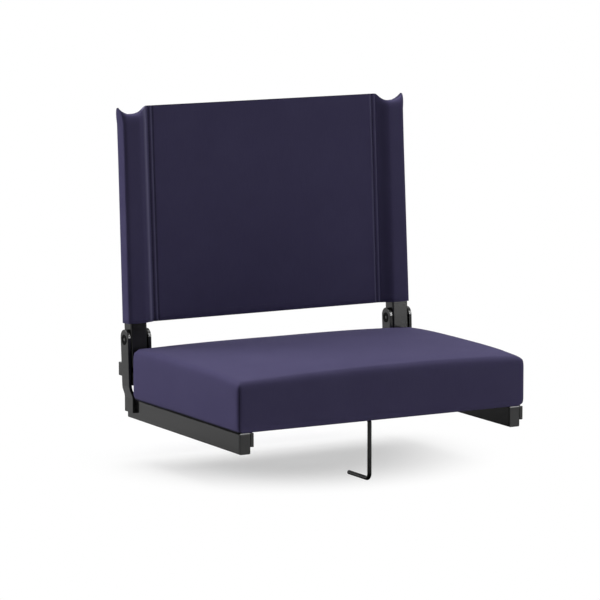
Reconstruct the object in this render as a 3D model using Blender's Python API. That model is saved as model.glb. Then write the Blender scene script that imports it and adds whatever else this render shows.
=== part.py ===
"""Folding stadium chair for a bleacher bench.

Two steel rails lie on the bench and carry a padded seat. Hinge plates welded to the rails hold the two
uprights of the sling back on pivot pins, and a wire hook under the seat grips the edge of the bench.
Metres, +Z up. The chair faces -Y, and left and right are those of someone who stands in front of it.
"""

import math

import bmesh
import bpy
from mathutils import Matrix, Vector

# Clearances
SEAT_GAP = 0.0003
RUN_GAP = 0.0001
FABRIC_EASE = 0.0004
HOLE_PLAY = 0.0003

# Rails
RAIL_LENGTH = 0.310
RAIL_WIDTH = 0.015
RAIL_HEIGHT = 0.027
RAIL_WALL = 0.0015
RAIL_CORNER = 0.0016
RAIL_INSET = 0.0129
CAP_HEAD = 0.0025
CAP_SKIRT = 0.009
CAP_WALL = 0.0014
CAP_EDGE = 0.0007

# Hinge plates, with their heights over the rails' underside or top
PLATE_THICKNESS = 0.0045
PLATE_BOTTOM = 0.0088
PLATE_EDGE = 0.0006
ARM_DROP = 0.0005
ARM_FILLET = 0.006
EAR_WIDTH = 0.0214
EAR_OVER_PIVOT = 0.0133
LEG_REACH = 0.0138
LEG_BACK_INSET = 0.001
TAPER_OVER_RAIL = 0.001
JOGGLE_OVER_RAIL = 0.0007
JOGGLE_RISE = 0.0166
LUG_REACH = 0.0062
CROSSBAR_OVER_RAIL = 0.0288
CROSSBAR_HEIGHT = 0.0176
CROSSBAR_THICKNESS = 0.0065

# Back pivot
PIVOT_OVER_RAIL = 0.0777
PIVOT_FROM_REAR = 0.0105
PIVOT_PIN_DIAMETER = 0.0057
BUSH_DIAMETER = 0.0094
BUSH_FLANGE_DIAMETER = 0.013
BUSH_FLANGE = 0.0005
BUSH_RECESS = 0.0016
STOP_DIAMETER = 0.0064
STOP_AHEAD = 0.0025
STOP_OVER_TAIL = 0.0195
LEAN = math.radians(3.35)

# Uprights
UPRIGHT_WIDTH = 0.0236
UPRIGHT_DEPTH = 0.0204
UPRIGHT_WALL = 0.0015
UPRIGHT_CORNER = 0.002
TAIL_OVER_JOGGLE = 0.0006

# Back fabric
FABRIC_OVER_PIVOT = 0.0218
FABRIC_HEIGHT = 0.2818
FABRIC_WALL = 0.0009
PANEL_THICKNESS = 0.0024
SLEEVE_CORNER = 0.0034
SLEEVE_CROWN = 0.0231
SEAM_INSET = 0.0146
SLEEVE_DIP = 0.0105
SLEEVE_DIP_AT_CORNER = 0.3
SLEEVE_FLARE = 0.0038

# Seat
PAD_WIDTH = 0.422
PAD_DEPTH = 0.2903
PAD_EDGE_HEIGHT = 0.0675
PAD_CROWN = 0.009
PAD_TOP_ROUND = 0.013
PAD_BOTTOM_ROUND = 0.006
PAD_REAR_ROUND = 0.014
PAD_CORNER = 0.008
PAD_BULGE = 0.0012
BOARD_THICKNESS = 0.009
BOARD_INSET = 0.0068
BOARD_CORNER = 0.008
BOARD_REAR_INSET = 0.016
COVER_THICKNESS = 0.0008
COVER_INSET = 0.005
SCREW_INSET = 0.0242
SCREW_DIAMETER = 0.004
SCREW_HEAD_DIAMETER = 0.0075
SCREW_HEAD = 0.0024
SCREW_SHORT_OF_TOP = 0.0018
SCREW_ACCESS_DIAMETER = 0.0095

# Bench hook and its saddle clips
HOOK_DIAMETER = 0.0055
HOOK_SETBACK = 0.0323
HOOK_DROP = 0.0551
HOOK_LEG = 0.0535
HOOK_AXLE = 0.060
HOOK_BEND = 0.007
HOOK_HEAD_SWELL = 1.08
CLIP_THICKNESS = 0.0015
CLIP_WIDTH = 0.010
CLIP_FOOT = 0.0105
CLIP_MARGIN = 0.004
CLIP_SCREW_DIAMETER = 0.003
CLIP_SCREW_HEAD_DIAMETER = 0.006
CLIP_SCREW_HEAD = 0.0019
CLIP_SCREW_SHORT_OF_TOP = 0.0028

# Facets
ARC_STEPS = 4
ROUND_STEPS = 20
EAR_STEPS = 14

# Places worked out from the sizes above
RAIL_SPACING = PAD_WIDTH - 2 * RAIL_INSET
RAIL_X = RAIL_SPACING / 2
PIVOT_Y = RAIL_LENGTH - PIVOT_FROM_REAR
PIVOT_Z = RAIL_HEIGHT + PIVOT_OVER_RAIL
WASHER_GAP = BUSH_FLANGE + 2 * RUN_GAP + SEAT_GAP
EAR_FACE = UPRIGHT_WIDTH / 2 + WASHER_GAP
LEG_FACE = RAIL_WIDTH / 2 + SEAT_GAP
ARM_TOP_Z = RAIL_HEIGHT - ARM_DROP
JOGGLE_Z = RAIL_HEIGHT + JOGGLE_OVER_RAIL
LUG_BACK_Y = PIVOT_Y + EAR_WIDTH / 2 + LUG_REACH
CROSSBAR_Z = RAIL_HEIGHT + CROSSBAR_OVER_RAIL
UPRIGHT_OVER_PIVOT = FABRIC_OVER_PIVOT + FABRIC_HEIGHT - SLEEVE_CROWN
UPRIGHT_TAIL = PIVOT_Z - JOGGLE_Z - JOGGLE_RISE - TAIL_OVER_JOGGLE
STOP_BELOW = UPRIGHT_TAIL - STOP_OVER_TAIL
LEG_FRONT_Y = PIVOT_Y - LEG_REACH
PAD_REAR_Y = LEG_FRONT_Y - PAD_BULGE - SEAT_GAP
PAD_FRONT_Y = PAD_REAR_Y - PAD_DEPTH
PAD_BOTTOM_Z = RAIL_HEIGHT + SEAT_GAP
COVER_Z = RAIL_HEIGHT + SEAT_GAP
BOARD_Z = COVER_Z + COVER_THICKNESS + SEAT_GAP
BOARD_WIDTH = PAD_WIDTH - 2 * BOARD_INSET
BOARD_FRONT_Y = PAD_FRONT_Y + BOARD_INSET
BOARD_REAR_Y = PAD_REAR_Y - BOARD_REAR_INSET
BOARD_TOP_Z = BOARD_Z + BOARD_THICKNESS
CAP_DEPTH = CAP_HEAD + CAP_SKIRT
SCREW_YS = (
    max(BOARD_FRONT_Y, CAP_DEPTH) + SCREW_INSET,
    min(BOARD_REAR_Y, RAIL_LENGTH - CAP_DEPTH) - SCREW_INSET,
)
HOOK_RADIUS = HOOK_DIAMETER / 2
HOOK_Y = BOARD_FRONT_Y + HOOK_SETBACK
AXLE_Z = COVER_Z - FABRIC_EASE - HOOK_RADIUS * HOOK_HEAD_SWELL
CLIP_TOP_Z = COVER_Z - SEAT_GAP
CLIP_BORE = HOOK_RADIUS + RUN_GAP
CLIP_SCREW_X = CLIP_BORE + CLIP_THICKNESS + CLIP_FOOT / 2
CLIP_YS = (
    HOOK_Y + HOOK_BEND + CLIP_MARGIN,
    HOOK_Y + HOOK_AXLE - CLIP_MARGIN - CLIP_WIDTH,
)

SIDES = (("left", -1), ("right", 1))


def clear_scene():
    for obj in list(bpy.data.objects):
        bpy.data.objects.remove(obj, do_unlink=True)


def make_finish(name, colour, roughness, metallic):
    """A Principled material."""
    finish = bpy.data.materials.new(name)
    finish.use_nodes = True
    shader = finish.node_tree.nodes["Principled BSDF"]
    shader.inputs["Base Color"].default_value = (*colour, 1)
    shader.inputs["Roughness"].default_value = roughness
    shader.inputs["Metallic"].default_value = metallic
    return finish


def make_pivot(name, parent, place, lean=0.0):
    """An empty on a joint's axis, which carries what turns about it."""
    pivot = bpy.data.objects.new(name, None)
    pivot.parent = parent
    pivot.location = place
    pivot.rotation_euler.x = lean
    bpy.context.scene.collection.objects.link(pivot)
    return pivot


def turn_outward(body):
    """Makes every face of a closed body point outward."""
    bmesh.ops.recalc_face_normals(body, faces=body.faces)
    if body.calc_volume(signed=True) < 0:
        bmesh.ops.reverse_faces(body, faces=body.faces)


def place(name, body, finish, parent, location=(0, 0, 0)):
    """Turns a bmesh into a named object, smooth except at its sharp edges."""
    turn_outward(body)
    mesh = bpy.data.meshes.new(name)
    body.to_mesh(mesh)
    body.free()
    mesh.shade_smooth()
    mesh.set_sharp_from_angle(angle=math.radians(35))
    mesh.materials.append(finish)
    obj = bpy.data.objects.new(name, mesh)
    obj.parent = parent
    obj.location = location
    bpy.context.scene.collection.objects.link(obj)
    return obj


def arc(centre, radius, start, end, steps):
    """Points of an arc in a plane, from one angle to the other in degrees."""
    angles = [math.radians(start + (end - start) * i / steps) for i in range(steps + 1)]
    return [(centre[0] + radius * math.cos(a), centre[1] + radius * math.sin(a)) for a in angles]


def rounded_rectangle(low, high, radius, steps=ARC_STEPS):
    """The outline of a rectangle with round corners, counter-clockwise."""
    corners = (
        (low[0] + radius, low[1] + radius, 180),
        (high[0] - radius, low[1] + radius, 270),
        (high[0] - radius, high[1] - radius, 0),
        (low[0] + radius, high[1] - radius, 90),
    )
    return [point for x, y, start in corners for point in arc((x, y), radius, start, start + 90, steps)]


def centred_rectangle(width, depth, radius, steps=ARC_STEPS):
    return rounded_rectangle((-width / 2, -depth / 2), (width / 2, depth / 2), radius, steps)


def along_x(point, x=0.0):
    return Vector((x, point[0], point[1]))


def along_y(point, y=0.0):
    return Vector((point[0], y, point[1]))


def along_z(point, z=0.0):
    return Vector((point[0], point[1], z))


def extruded(outline, to_space, start, end):
    """A prism: the outline, put in space across its axis, drawn from start to end along it."""
    body = bmesh.new()
    base = body.faces.new([body.verts.new(to_space(point, start)) for point in outline])
    drawn = bmesh.ops.extrude_face_region(body, geom=[base])
    moved = [item for item in drawn["geom"] if isinstance(item, bmesh.types.BMVert)]
    bmesh.ops.translate(body, verts=moved, vec=to_space((0, 0), end) - to_space((0, 0), start))
    turn_outward(body)
    return body


def lofted(rings):
    """A closed body through rings of as many points each, capped flat at both ends."""
    body = bmesh.new()
    loops = [[body.verts.new(point) for point in ring] for ring in rings]
    for lower, upper in zip(loops, loops[1:]):
        for i, corner in enumerate(lower):
            body.faces.new((lower[i - 1], corner, upper[i], upper[i - 1]))
    body.faces.new(loops[0])
    body.faces.new(loops[-1])
    turn_outward(body)
    return body


def turned(profile, to_space, steps=ROUND_STEPS):
    """A turned body: (radius, place along the axis) points, spun about the axis."""
    body = bmesh.new()
    axis = to_space((0, 0), 1) - to_space((0, 0), 0)
    points = [body.verts.new(to_space((radius, 0), station)) for radius, station in profile]
    edges = [body.edges.new(pair) for pair in zip(points, points[1:])]
    if profile[0][0] > 0:
        edges.append(body.edges.new((points[-1], points[0])))
    bmesh.ops.spin(
        body, geom=points + edges, axis=axis, cent=(0, 0, 0), angle=math.tau, steps=steps, use_merge=True
    )
    bmesh.ops.remove_doubles(body, verts=body.verts, dist=1e-6)
    turn_outward(body)
    return body


def solid_round(radius, start, end, chamfer, to_space, steps=ROUND_STEPS):
    """A plain pin with chamfered ends."""
    profile = [
        (0, start),
        (radius - chamfer, start),
        (radius, start + chamfer),
        (radius, end - chamfer),
        (radius - chamfer, end),
        (0, end),
    ]
    return turned(profile, to_space, steps)


def drill(radius, start, end, to_space, steps=ROUND_STEPS):
    """A cutter for a round hole."""
    return turned([(0, start), (radius, start), (radius, end), (0, end)], to_space, steps)


def moved(body, offset):
    bmesh.ops.translate(body, verts=body.verts, vec=Vector(offset))
    return body


def joined(bodies):
    """Several bodies in one mesh."""
    whole = bpy.data.meshes.new("joined")
    collected = bmesh.new()
    for body in bodies:
        body.to_mesh(whole)
        collected.from_mesh(whole)
        body.free()
    bpy.data.meshes.remove(whole)
    return collected


def helper_object(body):
    mesh = bpy.data.meshes.new("helper")
    body.to_mesh(mesh)
    body.free()
    helper = bpy.data.objects.new("helper", mesh)
    bpy.context.scene.collection.objects.link(helper)
    return helper


def combined(body, tools, operation):
    """The body after a Boolean with the tools."""
    target = helper_object(body)
    tool = helper_object(joined(tools))
    modifier = target.modifiers.new("Boolean", "BOOLEAN")
    modifier.operation = operation
    modifier.solver = "EXACT"
    modifier.object = tool
    result = bmesh.new()
    result.from_object(target, bpy.context.evaluated_depsgraph_get())
    for helper in (target, tool):
        bpy.data.meshes.remove(helper.data)
    return result


def carved(body, tools):
    return combined(body, tools, "DIFFERENCE")


def eased(body, width, segments=2, sharper_than=50):
    """Bevels the edges that are sharper than an angle in degrees."""
    limit = math.radians(sharper_than)
    sharp = [edge for edge in body.edges if edge.is_manifold and edge.calc_face_angle() > limit]
    bmesh.ops.bevel(
        body,
        geom=sharp,
        offset=width,
        segments=segments,
        profile=0.5,
        affect="EDGES",
        material=-1,
        clamp_overlap=True,
    )
    return body


def build_tube(outer, inner, to_space, start, end):
    """A hollow section: the outer outline less the inner one, which runs right through."""
    core = extruded(inner, to_space, start - SEAT_GAP, end + SEAT_GAP)
    return carved(extruded(outer, to_space, start, end), [core])


def build_rail():
    """A rectangular steel tube along Y, with the seat screws' holes and the access holes under them."""
    middle = RAIL_HEIGHT / 2
    outer = rounded_rectangle((-RAIL_WIDTH / 2, 0), (RAIL_WIDTH / 2, RAIL_HEIGHT), RAIL_CORNER)
    inside = RAIL_WIDTH / 2 - RAIL_WALL
    inner = rounded_rectangle((-inside, RAIL_WALL), (inside, RAIL_HEIGHT - RAIL_WALL), RAIL_CORNER / 2)
    ends = CAP_HEAD + SEAT_GAP
    rail = build_tube(outer, inner, along_y, ends, RAIL_LENGTH - ends)
    tools = []
    for y in SCREW_YS:
        shank_hole = drill(SCREW_DIAMETER / 2 + HOLE_PLAY, middle, RAIL_HEIGHT * 2, along_z)
        access_hole = drill(SCREW_ACCESS_DIAMETER / 2, -RAIL_HEIGHT, middle, along_z)
        tools += [moved(shank_hole, (0, y, 0)), moved(access_hole, (0, y, 0))]
    return carved(rail, tools)


def build_cap(width, depth, corner, wall):
    """A moulded end plug: a head with eased edges, and a hollow skirt that goes into a tube along +Z."""
    head = extruded(centred_rectangle(width, depth, corner), along_z, -CAP_HEAD, 0)
    head = eased(head, CAP_EDGE)
    fit = 2 * (wall + SEAT_GAP)
    sunk = CAP_HEAD / 2
    skirt = extruded(centred_rectangle(width - fit, depth - fit, corner / 2), along_z, -sunk, CAP_SKIRT)
    hollow = fit + 2 * CAP_WALL
    core = extruded(
        centred_rectangle(width - hollow, depth - hollow, corner / 4), along_z, SEAT_GAP, CAP_SKIRT * 2
    )
    return carved(combined(head, [skirt], "UNION"), [core])


def plate_outline(with_arm):
    """Side view of a hinge plate, (y, z) from the rail's front end and underside. Its ear leans like the back."""
    half = EAR_WIDTH / 2
    crown = PIVOT_Z + EAR_OVER_PIVOT - half
    lean = math.degrees(LEAN)
    leg_back = PIVOT_Y + half - LEG_BACK_INSET
    outline = [(leg_back, PLATE_BOTTOM), (leg_back, JOGGLE_Z)]
    for z in (JOGGLE_Z + JOGGLE_RISE, CROSSBAR_Z, CROSSBAR_Z + CROSSBAR_HEIGHT):
        outline.append((PIVOT_Y + half - (crown - z) * math.tan(LEAN), z))
    lug = [(LUG_BACK_Y, CROSSBAR_Z), (LUG_BACK_Y, CROSSBAR_Z + CROSSBAR_HEIGHT)]
    outline[-1:-1] = lug
    outline += arc((PIVOT_Y, crown), half, -lean, 180 - lean, EAR_STEPS)
    if with_arm:
        centre = (LEG_FRONT_Y - ARM_FILLET, ARM_TOP_Z + ARM_FILLET)
        outline += arc(centre, ARM_FILLET, 0, -90, ARC_STEPS)
        outline += [(0, ARM_TOP_Z), (0, PLATE_BOTTOM)]
    else:
        outline += [(LEG_FRONT_Y, RAIL_HEIGHT + TAPER_OVER_RAIL), (LEG_FRONT_Y, PLATE_BOTTOM)]
    return outline


def joggle(z):
    """How far the plate stands out from the rail's side at a height: a smooth step to clear the upright."""
    share = min(max((z - JOGGLE_Z) / JOGGLE_RISE, 0), 1)
    return LEG_FACE + (EAR_FACE - LEG_FACE) * share * share * (3 - 2 * share)


def build_plate(side, with_arm):
    """A pressed hinge plate beside the rail: an ear for the pivot bush, a joggle, and a leg on the rail."""
    outline = plate_outline(with_arm)
    plate = eased(extruded(outline, along_x, 0, PLATE_THICKNESS), PLATE_EDGE)
    for i in range(ARC_STEPS + 1):
        height = JOGGLE_Z + JOGGLE_RISE * i / ARC_STEPS
        geometry = plate.verts[:] + plate.edges[:] + plate.faces[:]
        bmesh.ops.bisect_plane(plate, geom=geometry, dist=1e-6, plane_co=(0, 0, height), plane_no=(0, 0, 1))
    for vert in plate.verts:
        vert.co.x = side * (vert.co.x + joggle(vert.co.z))
    turn_outward(plate)
    reach = EAR_FACE + 2 * PLATE_THICKNESS
    bush_hole = drill(BUSH_DIAMETER / 2 + HOLE_PLAY, -reach, reach, along_x)
    return carved(plate, [moved(bush_hole, (0, PIVOT_Y, PIVOT_Z))])


def build_bush(side):
    """A flanged nylon bush, sunk in the ear's hole, whose flange spaces the ear from the upright."""
    bore = PIVOT_PIN_DIAMETER / 2 + RUN_GAP
    flange = EAR_FACE - RUN_GAP
    outside = EAR_FACE + PLATE_THICKNESS - BUSH_RECESS
    profile = [
        (bore, flange - BUSH_FLANGE),
        (BUSH_FLANGE_DIAMETER / 2, flange - BUSH_FLANGE),
        (BUSH_FLANGE_DIAMETER / 2, flange),
        (BUSH_DIAMETER / 2, flange),
        (BUSH_DIAMETER / 2, outside - PLATE_EDGE),
        (BUSH_DIAMETER / 2 - PLATE_EDGE, outside),
        (bore, outside),
    ]
    return turned([(radius, side * station) for radius, station in profile], along_x)


def build_crossbar():
    """The flat bar that ties the two inner plates together between their lugs, clear of the uprights' tails."""
    half = RAIL_X - EAR_FACE - PLATE_THICKNESS - SEAT_GAP
    front = LUG_BACK_Y - CROSSBAR_THICKNESS
    top = CROSSBAR_Z + CROSSBAR_HEIGHT
    section = [(front, CROSSBAR_Z), (LUG_BACK_Y, CROSSBAR_Z), (LUG_BACK_Y, top), (front, top)]
    return eased(extruded(section, along_x, -half, half), PLATE_EDGE)


def build_stop_slot():
    """A cutter for the slot in an upright's tail, which ends on the stop pin and is open to the front."""
    radius = math.hypot(STOP_AHEAD, STOP_BELOW)
    half = STOP_DIAMETER / 2 + SEAT_GAP
    ahead = UPRIGHT_DEPTH / 2 + STOP_DIAMETER
    seat = 270 - math.degrees(math.asin(STOP_AHEAD / radius))
    mouth = 270 - math.degrees(math.asin(ahead / radius))
    outline = arc((0, 0), radius + half, mouth, seat, ARC_STEPS)
    outline += arc((-STOP_AHEAD, -STOP_BELOW), half, seat, seat + 180, 2 * ARC_STEPS)[1:-1]
    outline += arc((0, 0), radius - half, seat, mouth, ARC_STEPS)
    return extruded(outline, along_x, -UPRIGHT_WIDTH, UPRIGHT_WIDTH)


def build_upright():
    """A back tube about its pivot. Its tail has a slot, whose end comes to rest on the stop pin."""
    outer = centred_rectangle(UPRIGHT_WIDTH, UPRIGHT_DEPTH, UPRIGHT_CORNER)
    inner = centred_rectangle(
        UPRIGHT_WIDTH - 2 * UPRIGHT_WALL, UPRIGHT_DEPTH - 2 * UPRIGHT_WALL, UPRIGHT_CORNER / 2
    )
    top = UPRIGHT_OVER_PIVOT - CAP_HEAD - SEAT_GAP
    tube = build_tube(outer, inner, along_z, -UPRIGHT_TAIL, top)
    hole = drill(BUSH_DIAMETER / 2 + HOLE_PLAY, -UPRIGHT_WIDTH, UPRIGHT_WIDTH, along_x)
    return carved(tube, [build_stop_slot(), hole])


def build_spacer():
    """The steel sleeve inside an upright, which keeps the tube's walls apart and turns on the pivot pin."""
    bore = PIVOT_PIN_DIAMETER / 2 + RUN_GAP
    half = UPRIGHT_WIDTH / 2
    outside = BUSH_DIAMETER / 2
    return turned([(bore, -half), (outside, -half), (outside, half), (bore, half)], along_x)


def sleeve_front(side):
    """Front half of one sleeve in plan, from its outer side to the seam, as (x, y) for the left or right."""
    across = UPRIGHT_WIDTH / 2 + FABRIC_EASE + FABRIC_WALL
    ahead = UPRIGHT_DEPTH / 2 + FABRIC_EASE + FABRIC_WALL
    outer = RAIL_X + across
    inner = RAIL_X - across
    outer_corner = arc((outer - SLEEVE_CORNER, -ahead + SLEEVE_CORNER), SLEEVE_CORNER, 0, -90, ARC_STEPS)
    inner_corner = arc((inner + SLEEVE_CORNER, -ahead + SLEEVE_CORNER), SLEEVE_CORNER, 270, 215, ARC_STEPS)
    steps = 2 * ARC_STEPS
    start = outer_corner[-1][0]
    end = inner_corner[0][0]
    face = [(start + (end - start) * i / steps, -ahead) for i in range(1, steps)]
    seam = (inner - SEAM_INSET + FABRIC_EASE + FABRIC_WALL, -PANEL_THICKNESS / 2)
    slack = [((inner_corner[-1][0] + seam[0]) / 2, (inner_corner[-1][1] + seam[1]) / 2)]
    return [(side * x, y) for x, y in outer_corner + face + inner_corner + slack + [seam]]


def dip(x):
    """Share of the top edge's dip: 1 over the middle of a sleeve, less at its outer corner, 0 at its seam."""
    off = abs(x) - RAIL_X
    if off > 0:
        across = UPRIGHT_WIDTH / 2 + FABRIC_EASE + FABRIC_WALL
        return 1 - (1 - SLEEVE_DIP_AT_CORNER) * (off / across) ** 2
    inward = min(-off / (UPRIGHT_WIDTH / 2 + SEAM_INSET), 1)
    return math.cos(inward**2 * math.pi / 2) ** 2


def flare(x):
    """Share of the outward flare of a sleeve's flattened top: 1 at its outer side, 0 from its middle inwards."""
    across = UPRIGHT_WIDTH / 2 + FABRIC_EASE + FABRIC_WALL
    return max(abs(x) - RAIL_X, 0) / across


def fabric_ring(outline, height, share):
    """One level of the back: share runs from 0, where a sleeve is full, to 1 at the flat seam on top."""
    thin = PANEL_THICKNESS / 2
    full = math.sqrt(1 - share * share)
    ring = []
    for x, y in outline:
        depth = math.copysign(thin + (abs(y) - thin) * full, y)
        wide = x + math.copysign(SLEEVE_FLARE * flare(x) * share, x)
        ring.append(Vector((wide, depth, height - SLEEVE_DIP * dip(x) * share * share)))
    return ring


def build_back_fabric():
    """The sling back: a flat panel between two sleeves, which close in a pinched seam over the uprights."""
    front = sleeve_front(-1) + sleeve_front(1)[::-1]
    outline = front + [(x, -y) for x, y in front[::-1]]
    bottom = FABRIC_OVER_PIVOT
    top = FABRIC_OVER_PIVOT + FABRIC_HEIGHT
    pinch = UPRIGHT_OVER_PIVOT + FABRIC_EASE + FABRIC_WALL
    shares = [math.sin(math.pi / 2 * i / (2 * ARC_STEPS)) for i in range(2 * ARC_STEPS + 1)]
    rings = [fabric_ring(outline, bottom, 0)]
    rings += [fabric_ring(outline, pinch + (top - pinch) * share, share) for share in shares]
    back = bmesh.new()
    loops = [[back.verts.new(point) for point in ring] for ring in rings]
    for lower, upper in zip(loops, loops[1:]):
        for i, corner in enumerate(lower):
            back.faces.new((lower[i - 1], corner, upper[i], upper[i - 1]))
    for loop in (loops[0], loops[-1]):
        for i in range(len(front) - 1):
            back.faces.new((loop[i], loop[i + 1], loop[-2 - i], loop[-1 - i]))
    turn_outward(back)
    pocket = centred_rectangle(
        UPRIGHT_WIDTH + 2 * FABRIC_EASE, UPRIGHT_DEPTH + 2 * FABRIC_EASE, UPRIGHT_CORNER
    )
    ceiling = UPRIGHT_OVER_PIVOT + FABRIC_EASE
    tools = [
        moved(extruded(pocket, along_z, bottom - UPRIGHT_DEPTH, ceiling), (side * RAIL_X, 0, 0))
        for _, side in SIDES
    ]
    return carved(back, tools)


def pad_ring(inset, rear_inset, z):
    """The cushion's outline at a height, drawn in by an inset, with points along its sides."""
    low = (-PAD_WIDTH / 2 + inset, PAD_FRONT_Y + inset)
    high = (PAD_WIDTH / 2 - inset, PAD_REAR_Y - rear_inset)
    room = min(high[0] - low[0], high[1] - low[1]) / 2
    radius = min(PAD_CORNER + inset / 4, room)
    corners = rounded_rectangle(low, high, radius)
    per_corner = ARC_STEPS + 1
    steps = 2 * ARC_STEPS
    ring = []
    for i in range(0, len(corners), per_corner):
        ring += corners[i : i + per_corner]
        start = corners[i + ARC_STEPS]
        end = corners[(i + per_corner) % len(corners)]
        for k in range(1, steps):
            ring.append(tuple(a + (b - a) * k / steps for a, b in zip(start, end)))
    return [pad_point(x, y, z) for x, y in ring]


def pad_point(x, y, z):
    """A point of the cushion, with its sides swollen at mid-height and its top crowned."""
    middle_y = (PAD_FRONT_Y + PAD_REAR_Y) / 2
    share_x = x / (PAD_WIDTH / 2)
    share_y = (y - middle_y) / (PAD_DEPTH / 2)
    height = (z - PAD_BOTTOM_Z) / PAD_EDGE_HEIGHT
    swell = PAD_BULGE * math.sin(math.pi * min(max(height, 0), 1))
    over_x = 1 - share_x**2
    over_y = 1 - share_y**2
    crown = 0.4 * over_x * over_y + 0.3 * (over_x + over_y)
    lift = min(max(2 * height - 1, 0), 1)
    return Vector((x + swell * share_x, y + swell * share_y, z + PAD_CROWN * crown * lift))


def round_inset(radius, rise):
    """How far a round edge is drawn in at a rise above its flat."""
    return radius - math.sqrt(radius**2 - max(radius - rise, 0) ** 2)


def build_cushion():
    """The seat cushion: crowned foam in a fitted cover, with a recess underneath for the board."""
    board_low = (-BOARD_WIDTH / 2 - SEAT_GAP, BOARD_FRONT_Y - SEAT_GAP)
    board_high = (BOARD_WIDTH / 2 + SEAT_GAP, BOARD_REAR_Y + SEAT_GAP)
    recess = rounded_rectangle(board_low, board_high, BOARD_CORNER)
    ceiling = BOARD_TOP_Z + SEAT_GAP
    top = PAD_BOTTOM_Z + PAD_EDGE_HEIGHT
    rises = [PAD_REAR_ROUND * (1 - math.cos(math.pi / 2 * i / 5)) for i in range(6)]
    rises.append((PAD_REAR_ROUND + PAD_EDGE_HEIGHT - PAD_TOP_ROUND) / 2)
    rings = [
        pad_ring(round_inset(PAD_BOTTOM_ROUND, rise), round_inset(PAD_REAR_ROUND, rise), PAD_BOTTOM_Z + rise)
        for rise in rises
    ]
    for i in range(6):
        turn = math.pi / 2 * i / 5
        inset = PAD_TOP_ROUND * (1 - math.cos(turn))
        rings.append(pad_ring(inset, inset, top - PAD_TOP_ROUND * (1 - math.sin(turn))))
    middle = PAD_DEPTH / 2
    for i in range(1, 5):
        inset = PAD_TOP_ROUND + (middle - PAD_TOP_ROUND) * i / 5
        rings.append(pad_ring(inset, inset, top))
    pocket = extruded(recess, along_z, PAD_BOTTOM_Z - BOARD_THICKNESS, ceiling)
    return carved(lofted(rings), [pocket])


def clip_screw_places():
    return [(x, y + CLIP_WIDTH / 2) for y in CLIP_YS for x in (-CLIP_SCREW_X, CLIP_SCREW_X)]


def seat_screw_places():
    return [(side * RAIL_X, y) for _, side in SIDES for y in SCREW_YS]


def screw_holes(start, end):
    """Cutters for every screw that goes up into the board."""
    holes = [(place_of, SCREW_DIAMETER) for place_of in seat_screw_places()]
    holes += [(place_of, CLIP_SCREW_DIAMETER) for place_of in clip_screw_places()]
    return [
        moved(drill(size / 2 + HOLE_PLAY, start, end, along_z), (x, y, 0)) for (x, y), size in holes
    ]


def build_board():
    """The plywood seat board, with its screw holes."""
    outline = rounded_rectangle(
        (-BOARD_WIDTH / 2, BOARD_FRONT_Y), (BOARD_WIDTH / 2, BOARD_REAR_Y), BOARD_CORNER
    )
    board = extruded(outline, along_z, BOARD_Z, BOARD_TOP_Z)
    deep = BOARD_TOP_Z - min(SCREW_SHORT_OF_TOP, CLIP_SCREW_SHORT_OF_TOP) + SEAT_GAP
    return carved(board, screw_holes(BOARD_Z - BOARD_THICKNESS, deep))


def build_dust_cover():
    """The thin lining tacked under the board."""
    low = (-BOARD_WIDTH / 2 + COVER_INSET, BOARD_FRONT_Y + COVER_INSET)
    high = (BOARD_WIDTH / 2 - COVER_INSET, BOARD_REAR_Y - COVER_INSET)
    cover = extruded(rounded_rectangle(low, high, BOARD_CORNER), along_z, COVER_Z, COVER_Z + COVER_THICKNESS)
    return carved(cover, screw_holes(COVER_Z - BOARD_THICKNESS, COVER_Z + BOARD_THICKNESS))


def build_screw(diameter, head_diameter, head, bearing_z, tip_z):
    """A pan-head screw pointing up: its head bears against a face at one height, and its tip is at another."""
    radius = diameter / 2
    top = bearing_z - SEAT_GAP
    profile = [
        (0, top - head),
        (head_diameter * 0.34, top - head),
        (head_diameter * 0.46, top - head * 0.72),
        (head_diameter * 0.5, top - head * 0.3),
        (head_diameter * 0.5, top),
        (radius, top),
        (radius, tip_z - radius),
        (radius * 0.35, tip_z),
        (0, tip_z),
    ]
    return turned(profile, along_z)


def build_clip():
    """A saddle clip: an omega strap round the hook's axle, with a foot each side."""
    bottom = CLIP_TOP_Z - CLIP_THICKNESS
    reach = CLIP_BORE + CLIP_THICKNESS
    end = reach + CLIP_FOOT
    outline = [(-end, bottom), (-reach, bottom)]
    outline += arc((0, AXLE_Z), reach, 180, 360, 2 * ARC_STEPS)
    outline += [(reach, bottom), (end, bottom), (end, CLIP_TOP_Z), (CLIP_BORE, CLIP_TOP_Z)]
    outline += arc((0, AXLE_Z), CLIP_BORE, 360, 180, 2 * ARC_STEPS)
    outline += [(-CLIP_BORE, CLIP_TOP_Z), (-end, CLIP_TOP_Z)]
    clip = extruded(outline, along_y, 0, CLIP_WIDTH)
    play = CLIP_SCREW_DIAMETER / 2 + HOLE_PLAY
    holes = [
        moved(drill(play, bottom - CLIP_THICKNESS, COVER_Z, along_z), (x, CLIP_WIDTH / 2, 0))
        for x in (-CLIP_SCREW_X, CLIP_SCREW_X)
    ]
    return carved(clip, holes)


def hook_route():
    """The wire's centre line about the axle, as (y, z): axle, bend, shaft, bend and leg."""
    drop = AXLE_Z + HOOK_DROP
    upper = arc((HOOK_BEND, -HOOK_BEND), HOOK_BEND, 90, 180, 2 * ARC_STEPS)
    lower = arc((HOOK_BEND, HOOK_BEND - drop), HOOK_BEND, 180, 270, 2 * ARC_STEPS)
    return [(HOOK_AXLE, 0), *upper, *lower, (HOOK_LEG, -drop)]


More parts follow.
